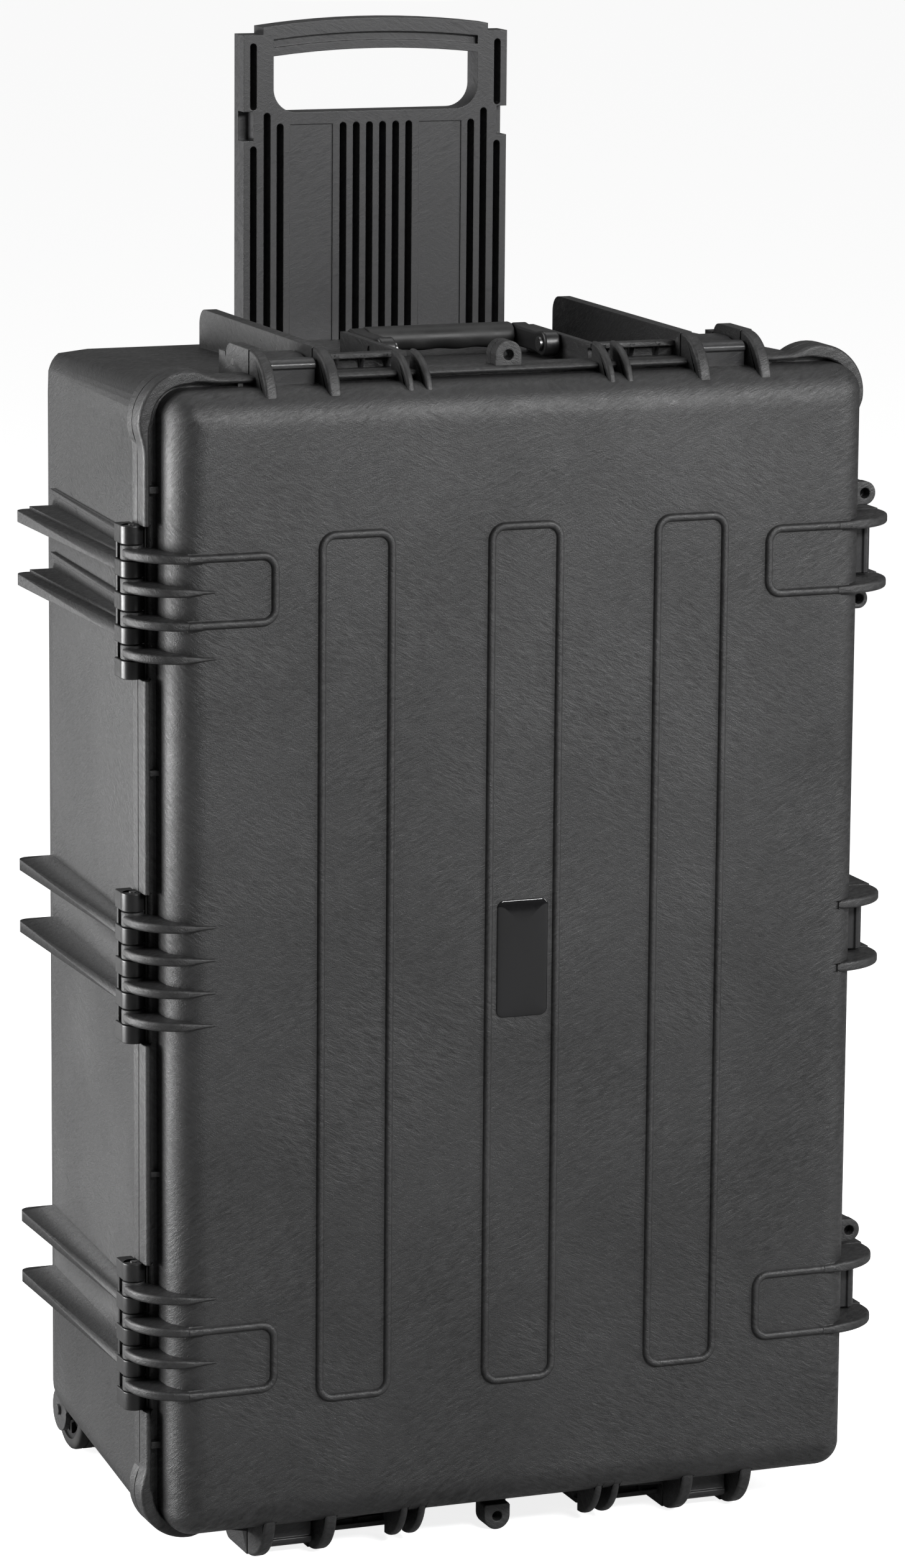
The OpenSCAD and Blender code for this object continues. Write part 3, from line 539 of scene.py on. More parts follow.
@dataclass(frozen=True)
class MouldedPlastic:
    """Moulded polypropylene: fine slanting grain, cloudy tone and scuffs that catch the light."""

    name: str
    dark: Triple
    light: Triple
    roughness: float
    grain: float = 0.35
    scuffs: float = 1.0
    edge: float = 0.0012

    def build(self) -> bpy.types.Material:
        """Colour and roughness from clouds and streaks, bump from streaks, pits and a slow wave of the wall."""
        n = Nodes(self.name)
        fall, rise = (n.noise(480, (4, 4, 1), (26 * sense, 28 * sense, 0), 6, 0.7, 0.4) for sense in (1, -1))
        where = n.ranged(n.noise(5.5, detail=3), 0.42, 0.58, 0, 1)
        strokes = n.mixed(where, rise, fall)
        clouds = n.noise(7.0, detail=6, rough=0.62)
        tone = n.maths("ADD", n.maths("MULTIPLY", clouds, 0.5), strokes)
        colour = n.shade(n.ranged(tone, 0.58, 0.96, 0, 1), self.dark, self.light)
        marks = n.ranged(n.noise(380, (12, 12, 1), (30, 36, 0), 3, 0.5, 1.0), 0.62, 0.7, 0, 1)
        patches = n.ranged(n.noise(9, detail=2), 0.52, 0.62, 0, 1)
        scuff = n.maths("MULTIPLY", n.maths("MULTIPLY", marks, patches), 0.16 * self.scuffs)
        dull = n.ranged(tone, 0.58, 0.92, self.roughness + 0.12, self.roughness - 0.1)
        rough = n.maths("SUBTRACT", dull, scuff)
        pits = n.noise(1500, detail=2)
        wave = n.bump(n.noise(3.2, detail=1), 0.35, 0.0016, n.rounded_normal(self.edge))
        height = n.maths("ADD", n.maths("MULTIPLY", strokes, 0.8), n.maths("MULTIPLY", pits, 0.35))
        return n.finish(colour, rough, n.bump(height, self.grain, 0.0009, wave), Specular_IOR_Level=0.5)


@dataclass(frozen=True)
class SmoothPlastic:
    """Denser, darker plastic with a satin or polished face and faint flow marks."""

    name: str
    dark: Triple
    light: Triple
    roughness: float
    bumps: float = 0.12
    edge: float = 0.0006

    def build(self) -> bpy.types.Material:
        """Colour and roughness from soft clouds, bump from a fine orange peel."""
        n = Nodes(self.name)
        clouds = n.noise(22, detail=5, rough=0.6)
        fine = n.noise(700, (3, 1, 1), (0, 18, 30), 3)
        tone = n.maths("ADD", n.maths("MULTIPLY", clouds, 0.6), n.maths("MULTIPLY", fine, 0.4))
        colour = n.shade(n.ranged(tone, 0.35, 0.65, 0, 1), self.dark, self.light)
        rough = n.ranged(tone, 0.35, 0.65, self.roughness - 0.06, self.roughness + 0.08)
        normal = n.bump(fine, self.bumps, 0.0002, n.rounded_normal(self.edge))
        return n.finish(colour, rough, normal, Specular_IOR_Level=0.5)


@dataclass(frozen=True)
class TurnedSteel:
    """Zinc-plated steel with fine turning marks."""

    name: str
    tint: Triple = (0.2, 0.2, 0.2)
    roughness: float = 0.3

    def build(self) -> bpy.types.Material:
        """Metal with streaks that change its roughness and a thin bump."""
        n = Nodes(self.name)
        marks = n.noise(2400, (1, 6, 1), detail=4)
        dull = tuple(0.72 * c for c in self.tint)
        colour = n.shade(n.ranged(marks, 0.3, 0.7, 0, 1), dull, self.tint)
        rough = n.ranged(marks, 0.3, 0.7, self.roughness - 0.06, self.roughness + 0.14)
        return n.finish(colour, rough, n.bump(marks, 0.15, 0.0001), Metallic=1.0)


@dataclass(frozen=True)
class Rubber:
    """Soft rubber: dull, lightly dusty, with a fine tooth."""

    name: str
    dark: Triple
    light: Triple
    roughness: float = 0.72

    def build(self) -> bpy.types.Material:
        """Dusty colour from clouds, bump from fine noise."""
        n = Nodes(self.name)
        dust = n.noise(40, detail=6, rough=0.65)
        tooth = n.noise(1300, detail=3)
        colour = n.shade(n.ranged(dust, 0.4, 0.68, 0, 1), self.dark, self.light)
        rough = n.ranged(dust, 0.4, 0.7, self.roughness - 0.08, self.roughness + 0.08)
        return n.finish(colour, rough, n.bump(tooth, 0.3, 0.00025), Specular_IOR_Level=0.35)


Finish = MouldedPlastic | SmoothPlastic | TurnedSteel | Rubber
FINISHES: dict[Slot, Finish] = {
    Slot.SHELL: MouldedPlastic("charcoal_shell", (0.006, 0.006, 0.0062), (0.036, 0.036, 0.0366), 0.44, 0.75),
    Slot.LATCH: MouldedPlastic("latch_plastic", (0.011, 0.011, 0.0115), (0.028, 0.028, 0.029), 0.38, 0.22, 0.5, 0.0006),
    Slot.HANDLE: MouldedPlastic(
        "pull_handle_plastic", (0.014, 0.014, 0.015), (0.036, 0.036, 0.037), 0.38, 0.2, 0.6, 0.0008
    ),
    Slot.GLOSS: SmoothPlastic("glossy_black_plastic", (0.007, 0.007, 0.007), (0.014, 0.014, 0.0145), 0.36),
    Slot.GRIP: Rubber("soft_grip", (0.012, 0.012, 0.012), (0.026, 0.026, 0.026), 0.55),
    Slot.STEEL: TurnedSteel("plated_steel"),
    Slot.BADGE: SmoothPlastic("badge_resin", (0.004, 0.004, 0.004), (0.008, 0.008, 0.009), 0.09, 0.02, 0.0003),
    Slot.SEAL: Rubber("seal_rubber", (0.012, 0.012, 0.012), (0.022, 0.022, 0.022)),
    Slot.TYRE: Rubber("tyre_rubber", (0.014, 0.014, 0.014), (0.034, 0.033, 0.032)),
}


class Workshop:
    """Builds the finishes once, then dresses and mounts every piece."""

    def __init__(self, datum: Datum) -> None:
        """Makes one material for each slot."""
        self.datum = datum
        self.materials = {slot: finish.build() for slot, finish in FINISHES.items()}

    def piece(
        self, name: str, surface: Surface, body: str, slot: Slot, *stands_for: str, sharp: float = 35.0
    ) -> bpy.types.Object:
        """Makes a piece, gives it its finish and lets it ride on its body.

        Args:
            name: the piece's name.
            surface: its closed surface in case millimetres.
            body: the body that it moves with.
            slot: its material slot.
            stands_for: CAD nodes that it replaces.
            sharp: angle over which its edges stay sharp, in degrees.

        Returns:
            The piece.
        """
        mesh = bpy.data.meshes.new(name)
        faces = surface.quads.tolist() + surface.caps
        mesh.from_pydata(self.datum.place(surface.points).tolist(), [], faces)
        return self.mount(smoothed(name, mesh, sharp), body, slot, *stands_for)

    def mount(self, made: bpy.types.Object, body: str, slot: Slot, *stands_for: str) -> bpy.types.Object:
        """Dresses a piece, lets it ride and hides the CAD nodes it stands for.

        Args:
            made: the piece.
            body: the body that it moves with.
            slot: its material slot.
            stands_for: CAD nodes that it replaces.

        Returns:
            The piece.
        """
        made.data.materials.clear()
        made.data.materials.append(self.materials[slot])
        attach(made, body)
        if stands_for:
            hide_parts(*stands_for)
        log.info("%s: %d faces on %s, %s", made.name, len(made.data.polygons), body, slot.value)
        return made

    def dress(self, node: str) -> None:
        """Gives a CAD node the finish of its own slot."""
        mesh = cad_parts[node].data
        slot = Slot(mesh.materials[0].name.split(".")[0])
        mesh.materials[0] = self.materials[slot]
        log.info("%s keeps its CAD shape, %s", node, slot.value)


# ---------- lid ----------


def box_ring(depth: float, half_w: float, half_h: float, radius: float, steps: int = 12) -> Array:
    """One ring of a rounded rectangle: the corner (+-(w - r), +-(h - r)) plus r (cos t, sin t), corner by corner.

    Args:
        depth: where the ring lies behind the face.
        half_w: half of its width w.
        half_h: half of its height h.
        radius: its corner radius r.
        steps: segments of each corner.

    Returns:
        Array (points, 3).
    """
    t = np.radians(np.linspace(0, 90, steps + 1))[None] + np.radians([0, 90, 180, 270])[:, None]
    sx, sz = np.array([1, -1, -1, 1])[:, None], np.array([1, 1, -1, -1])[:, None]
    x = sx * (half_w - radius) + radius * np.cos(t)
    z = sz * (half_h - radius) + radius * np.sin(t)
    return np.stack([x.ravel(), np.full(x.size, depth), z.ravel()], -1)


@dataclass
class Lid:
    """The lid: its domed skin, rim with side channel, ridges, ribs, knuckles, eyelets and badge."""

    shop: Workshop
    rib: float = 6.5
    end_rib: float = 9.0
    stop_x: Pair = (68.0, 81.5)
    stop: float = 5.5
    notch_side: float = 19.75
    notch_end: float = 18.5
    hinge_half: float = 53.3
    loop_x: Triple = (-124.6, 0.0, 124.6)
    loop_half: Pair = (25.4, 306.2)
    ridge_r: float = 9.5
    ridge_reach: float = 3.0
    short_x: float = 184.0
    short_ends: Triple = (247.0, 236.0, 220.0)
    side_webs: tuple[Pair, Pair] = ((142, 2), (338, 2.5))
    end_web: Pair = (198, 2)

    def skin(self) -> Surface:
        """Outside and inside of the lid as one skin of rings.

        A dome ring at angle t lies R (1 - cos t) behind the face and R (1 - sin t) in from the wall.

        Returns:
            The closed skin.
        """
        c = CASE

        def ring(depth: float, out: float, least: float = 3.0) -> Array:
            """The wall's ring at a depth, moved out by a distance, with corners of at least a radius."""
            return box_ring(depth, c.lid_w + out, c.lid_h + out, max(c.lid_r + out, least))

        def dome(radius: float, wall: float) -> list[Array]:
            """Rings of a dome of that radius, a wall's thickness in."""
            turns = np.radians(np.linspace(0, 90, 11))
            return [ring(wall + radius * (1 - math.cos(a)), -wall - radius * (1 - math.sin(a))) for a in turns]

        end = c.parting - c.gap
        rings = [ring(0, -c.lid_round - 4, 1.0), *dome(c.lid_round, 0)]
        rings += [ring(end - 0.6, 1), ring(end, 0.4), ring(end, 1.4 - c.wall)]
        rings += dome(c.lid_round - c.wall, c.wall)[::-1]
        return skinned(np.stack(rings)).moved((c.lid_centre[0], 0, c.lid_centre[1]))

    def ridge_section(self) -> Array:
        """Section of a ridge: its height at v from -1 to 1 is the bead times (1 - |v|^2.6)^0.7, on two short feet."""
        reach, v = self.ridge_reach, np.linspace(-1, 1, 13)
        top = np.stack([v * reach, 0.25 - CASE.bead * (1 - np.abs(v) ** 2.6) ** 0.7], -1)
        return np.concatenate([[[-reach - 0.9, 0.35]], top, [[reach + 0.9, 0.35], [reach, 1.2], [-reach, 1.2]]])

    def ridges(self) -> Surface:
        """Three long loops and four short U shapes that run out into the ribs."""
        c, r, section = CASE, self.ridge_r, self.ridge_section()
        loop = self.evened(box_ring(0, *self.loop_half, r, 7)[:, [0, 2]])
        parts = [swept(loop + np.array([x, 0]), section, True) for x in self.loop_x]
        ends = {
            -1: (c.hinge_z[0] + 1.5 * c.pitch, c.hinge_z[0] - 0.5 * c.pitch),
            1: (c.latch_z[0] + c.latch_half, c.latch_z[0] - c.latch_half),
        }
        for sx, (top, low) in ends.items():
            path = np.concatenate([
                [[x, top] for x in self.short_ends],
                arc(self.short_x + r, top - r, r, 90, 180, 7),
                arc(self.short_x + r, low + r, r, 180, 270, 7),
                [[x, low] for x in self.short_ends[::-1]],
            ])
            part = swept(path, section, False)
            part = part if sx > 0 else part.mirrored(Axis.X)
            parts += [part.mirrored(Axis.Z).outward(), part.outward()]
        return joined(parts)

    def evened(self, loop: Array) -> Array:
        """A closed path with points added on its long straight runs, so that its normals stay square there."""
        nxt = np.roll(loop, -1, axis=0)
        run = lengths(nxt - loop)
        step = (nxt - loop) / np.maximum(run, TINY)
        near = np.where(run > 20, loop + 0.5 * step, np.nan)
        late = np.where(run > 20, nxt - 0.5 * step, np.nan)
        both = np.stack([loop, near, late], axis=1).reshape(-1, 2)
        return both[~np.isnan(both[:, 0])]

    def side_rib_outline(self, horn: float, proud: float, reach: float, wall: float) -> Array:
        """Crescent in x and depth.

        Its outer edge is a quarter of an ellipse with half axes reach - x0 and 36 + proud, and the inner an arc under
        the dome.

        Args:
            horn: length of the straight run on to the face.
            proud: height over the face.
            reach: how far out the rib goes.
            wall: where the lid's wall stands.

        Returns:
            The outline.
        """
        c = CASE
        r = c.parting - 9 + proud
        end = c.parting - c.gap
        start = c.half_w - r
        outer = arc(0, 0, 1, -90, 0, 16) * np.array([reach - start, r]) + np.array([start, c.parting - 9])
        inner = arc(wall - c.lid_round, c.lid_round, c.lid_round - 2, 0, -90, 12)
        tip = [[start - horn, -proud], [start - horn * 0.5, -proud]]
        tail = [[reach, end - 3], [reach - 3, end], [wall - 2, end]]
        return np.concatenate([tip, outer, tail, inner, [[start - horn, 2.0]]])

    def side_rib(self, outline: Array, z: float, thick: float, least: float) -> Surface:
        """A rib that thins towards the face: z = m + (z - m) clip((x - 224) / 27, least, 1).

        Args:
            outline: its crescent.
            z: its middle m.
            thick: its thickness at the wall.
            least: the share of it that stays at the tip.

        Returns:
            The rib, on the right side.
        """
        rib = plate(outline, Plane.SIDE, z, thick, 2.0, 4)
        rib.points[:, 2] = z + (rib.points[:, 2] - z) * np.clip((rib.points[:, 0] - 224) / 27, least, 1)
        return rib

    def hinge_ribs(self) -> Surface:
        """Twelve ribs at the hinge: four run into the short ridges, and the others end in a long thin horn."""
        c, parts = CASE, []
        wall = c.lid_w - c.lid_centre[0]
        joining = self.side_rib_outline(4, c.bead - 0.2, c.half_w, wall)
        horned = self.side_rib_outline(16, 1.9, c.half_w, wall)
        for g, centre in enumerate(c.hinge_z):
            for k in RIB_STEPS:
                joins = (g == 0 and k in (1.5, -0.5)) or (g == 2 and k in (-1.5, 0.5))
                shape, least = (joining, 0.8) if joins else (horned, 0.14)
                parts.append(self.side_rib(shape, centre + k * c.pitch, self.rib, least).mirrored(Axis.X))
        return joined(parts)

    def side_latch_ribs(self) -> Surface:
        """Six ribs beside the right-hand latches, of which the outer four run into the short ridges."""
        c, parts = CASE, []
        wall = c.lid_w + c.lid_centre[0]
        joining = self.side_rib_outline(4, c.bead - 0.2, c.rib_right, wall)
        plain = self.side_rib_outline(0, 0, c.rib_right, wall)
        for g, centre in enumerate(c.latch_z):
            for s in (-1, 1):
                shape = plain if g == 1 else joining
                parts.append(self.side_rib(shape, centre + s * c.latch_half, self.rib + 0.5, 0.76))
        return joined(parts)

    def end_rib_outline(self, reach: float) -> Array:
        """Quarter fan in depth and z: an arc of radius 37 about (45, 393 - reach), and an inner one under the dome."""
        c = CASE
        r = c.parting - 8
        top = c.half_h - reach
        outer = arc(c.parting, top - r, r, 180, 90.3, 16)
        inner = arc(c.lid_round, c.lid_h - c.lid_round - 2, c.lid_round - 2, 90, 138, 8)
        end = c.parting - c.gap
        return np.concatenate([outer, [[end, c.lid_h - 4]], inner])

    def end_ribs(self) -> Surface:
        """Ribs beside the top and bottom latches, and the thinner stops beside the carry handles."""
        c, parts = CASE, []
        ribs = [(c.latch_x + s * c.latch_half, self.end_rib, 0.0) for s in (-1, 1)]
        ribs += [(x, self.stop, 4.0) for x in self.stop_x]
        for sx in (-1, 1):
            for x, thick, reach in ribs:
                rib = plate(self.end_rib_outline(reach), Plane.END, sx * x, thick, min(2.2, 0.38 * thick), 4)
                parts += [rib, rib.mirrored(Axis.Z)]
        return joined(parts)

    def rim_stations(self) -> tuple[Array, Array, Array, Array]:
        """Stations round the rim, in order: place at a distance out of the rim line is middle + (base + out) * way.

        Each corner is an arc of the lobe's radius, which starts and ends where it meets the straight rim lines.

        Returns:
            middle (points, 2), way (points, 2), base (points) and bend (points), which rises to 1 in a lobe's middle
            and is 0 on a straight.
        """
        c, both = CASE, (-1, 1)
        side_marks = [s * (m + d * self.notch_side) for m in c.latch_z for s in both for d in both]
        side_marks += [m + d * self.hinge_half for m in c.hinge_z for d in both]
        side_marks += [s * (m + d * half) for m, half in self.side_webs for s in both for d in both]
        end_marks = [s * (c.latch_x + d * self.notch_end) for s in both for d in both]
        end_marks += [s * (self.end_web[0] + d * self.end_web[1]) for s in both for d in both]
        ways = np.array([[1, 0], [0, 1], [-1, 0], [0, -1]])
        senses = (1, -1, -1, 1)
        lines = np.array([c.rim_right, c.rim_h, c.rim_w, c.rim_low])
        centres = np.array([c.lobe_right, c.lobe_top, c.lobe_left, c.lobe_low]) - c.lobe
        meets = np.arccos(np.minimum(1, (lines - centres) / c.lobe))
        blocks = []
        for k, (way, sense, meet) in enumerate(zip(ways, senses, meets)):
            after = (k + 1) % 4
            short = c.lobe * math.sin(meet) + 1
            marks = np.array(end_marks if k % 2 else side_marks)
            run = self.marked(marks, short - centres[k - 1], centres[after] - short, sense)
            straight = sense * run[:, None] * np.abs(way[::-1])
            blocks.append((straight, np.tile(way, (len(run), 1)), np.full(len(run), lines[k]), 0 * run))
            whole = math.pi / 2 + meet + meets[after]
            t = np.linspace(-meet, whole - meet, 31)
            bend = np.minimum(1, 1.6 * np.sin(math.pi * (t + meet) / whole))
            centre = way * centres[k] + ways[after] * centres[after]
            arm = np.cos(t)[:, None] * way + np.sin(t)[:, None] * ways[after]
            blocks.append((np.tile(centre, (31, 1)), arm, np.full(31, c.lobe), bend))
        middle, way, base, bend = (np.concatenate(column) for column in zip(*blocks))
        return middle, way.astype(float), base, bend

    def marked(self, marks: Array, low: float, high: float, turn: int) -> Array:
        """Stations along a straight, in the order of travel.

        Args:
            marks: places of a change, each of which gets a pair of stations 0.3 mm apart.
            low: start of the run.
            high: end of the run.
            turn: 1 or -1, the sense in which the marks count along the run.

        Returns:
            The pairs, six stations 2.5 mm apart at each end, and plain ones every 12 mm between.
        """
        step = np.arange(6) * 2.5
        plain = np.concatenate([np.linspace(low + 18, high - 18, int((high - low) / 12)), low + step, high - step])
        pairs = np.concatenate([marks - 0.15, marks + 0.15]) * turn
        pairs = pairs[(pairs > low + 15) & (pairs < high - 15)]
        plain = plain[np.min(np.abs(plain[:, None] - pairs[None]), axis=1) > 1.0]
        return np.sort(np.concatenate([plain, pairs]))

    def rim(self) -> Surface:
        """The rim: a lip, a channel behind it and short webs across, as one section carried round.

        The section's lip and channel levels change at the latch notches, the hinge and the webs, and the lip is broad
        in the lobes.

        Returns:
            The closed rim.
        """
        c = CASE
        middle, way, base, bend = self.rim_stations()
        place = middle + base[:, None] * way
        x, z = place.T
        side, end = (np.abs(way[:, 0]) == 1) & (bend == 0), (np.abs(way[:, 1]) == 1) & (bend == 0)
        notch = (side & (way[:, 0] > 0)) | (end & (way[:, 1] < 0))
        notch |= end & (np.abs(np.abs(x) - c.latch_x) < self.notch_end)
        notch |= (bend > 0) & (x > 0) & (z < 0)
        hinge = side & (way[:, 0] < 0) & near_any(z, c.hinge_z, self.hinge_half)
        web = end & (np.abs(np.abs(x) - self.end_web[0]) < self.end_web[1])
        for level, half in self.side_webs:
            web |= side & (np.abs(np.abs(z) - level) < half)
        low, back = c.parting - 6.8, c.parting - c.gap
        lip = np.where(hinge, c.parting - 7, np.where(notch, low, c.flange))
        floor = np.where(notch, low, np.where(web, c.flange + 2.5, c.parting - 7))
        out, deep = np.where(hinge, -5.2, 0.0), -16.5
        inner = np.where(hinge, -7.2, -4.0 - 5.5 * bend)
        columns = [
            (out - 0.8, back), (out, back - 0.8), (out, lip + 3.0), (out - 0.3, lip + 1.6), (out - 1.1, lip + 0.5),
            (out - 2.3, lip), (inner + 1.0, lip + 0.2), (inner, np.minimum(lip + 1.2, floor)),
            (inner - 0.6, floor - 0.05), (deep, floor), (deep - 0.5, back - 4), (deep - 0.5, back),
        ]
        rings = []
        for offset, depth in columns:
            spot = middle + (base + offset)[:, None] * way
            rings.append(np.stack([spot[:, 0], np.broadcast_to(depth, base.shape), spot[:, 1]], -1))
        return skinned(self.softened(np.stack(rings, axis=1), base), looped=True)

    def softened(self, loop: Array, base: Array) -> Array:
        """Smooths the crease where a lobe meets the straight rim: eight passes of (a + 2 b + c) / 4 near it."""
        near = np.zeros(len(loop), bool)
        change = np.nonzero(base != np.roll(base, -1))[0]
        for k in range(-3, 5):
            near[(change + k) % len(loop)] = True
        for _ in range(8):
            mean = (np.roll(loop, 1, axis=0) + 2 * loop + np.roll(loop, -1, axis=0)) / 4
            loop = np.where(near[:, None, None], mean, loop)
        return loop

    def knuckles(self) -> Surface:
        """Twelve lid knuckles on the hinge axis, one at each rib."""
        return joined([knuckle(m + k * CASE.pitch, 5.25, 3.0, 1.0) for m in CASE.hinge_z for k in RIB_STEPS])

    def eyelet(self, radius: float) -> Surface:
        """A padlock tab in the plane of the lid face, centred on its hole, with the straight side towards -z.

        The outer edge at angle t is at (cos t, sin t) times r above the hole's middle, and below it times the distance
        to the nearer of the sides |u| = r and v = -9.

        Args:
            radius: its outer radius r.

        Returns:
            The tab.
        """
        c, hole, down = CASE, 3.6, 9.0
        t = np.linspace(0, 2 * np.pi, 48, endpoint=False)
        u, v = np.cos(t), np.sin(t)
        below = np.minimum(radius / np.maximum(np.abs(u), 1e-6), down / np.maximum(-v, 1e-6))
        far = np.where(v >= 0, radius, below)
        front, back = c.parting - 9, c.parting - c.gap
        rings = [
            (far, back), (far, front + 0.9), (far - 0.3, front + 0.25), (far - 0.9, front),
            (hole + 0.8, front), (hole + 0.2, front + 0.3), (hole, front + 0.9), (hole, back),
        ]
        return skinned(np.stack([np.stack([r * u, 0 * t + d, r * v], -1) for r, d in rings]), looped=True)

    def eyelets(self) -> Surface:
        """Five padlock tabs: one at the top, one at the bottom and three at the right side."""
        tab = self.eyelet(10)
        parts = [tab.moved((0, 0, 420)), tab.mirrored(Axis.Z).moved((0, 0, -420))]
        for x, z, radius in ((274.5, 310.5, 8.5), (274.5, -232.5, 8.5), (271.5, 234.5, 7.0)):
            parts.append(self.eyelet(radius).sideways((x, 0, z)))
        return joined(parts)

    def build(self) -> None:
        """Makes the lid's pieces and dresses its CAD nodes."""
        shop, shell = self.shop, Slot.SHELL
        shop.piece("lid_eyelets", self.eyelets(), "lid", shell)
        shop.piece("lid_skin", self.skin(), "lid", shell, "lid_shell")
        shop.piece("lid_rim", self.rim(), "lid", shell)
        shop.piece("lid_ridges", self.ridges(), "lid", shell, sharp=60)
        shop.piece("lid_hinge_ribs", self.hinge_ribs(), "lid", shell)
        shop.piece("lid_side_latch_ribs", self.side_latch_ribs(), "lid", shell)
        shop.piece("lid_end_ribs", self.end_ribs(), "lid", shell)
        shop.piece("lid_knuckles", self.knuckles(), "lid", shell)
        shop.dress("lid_seal")
        self.badge()

    def badge(self) -> None:
        """A plain domed resin badge: its ring at share s lies 19 (1 - s) in from the edge, and the rises level off."""
        half_w, half_h, corner = 19, 42, 5
        shares = (1.0, 0.985, 0.95, 0.86, 0.7, 0.5, 0.25, 0.06)
        rises = (0.55, 0.9, 1.15, 1.42, 1.65, 1.8, 1.88, 1.9)
        rings = [box_ring(-0.02, half_w, half_h, corner)]
        for share, rise in zip(shares, rises):
            inward = half_w * (1 - share)
            rings.append(box_ring(-rise, half_w - inward, half_h - inward, max(corner - inward, 0.5)))
        self.shop.piece("badge_dome", skinned(np.stack(rings)), "lid", Slot.BADGE, "badge")


# ---------- base ----------


def smooth_copy(name: str, node: str, sharp: float) -> bpy.types.Object:
    """A merged copy of a CAD node with smooth curved faces.

    Args:
        name: the copy's name.
        node: the CAD node.
        sharp: edges over this angle stay sharp, in degrees.

    Returns:
        The copy, with even normals.
    """
    work = bmesh.new()
    work.from_mesh(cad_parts[node].data)
    bmesh.ops.remove_doubles(work, verts=work.verts, dist=1e-6)
    mesh = bpy.data.meshes.new(name)
    work.to_mesh(mesh)
    work.free()
    return smoothed(name, mesh, sharp)


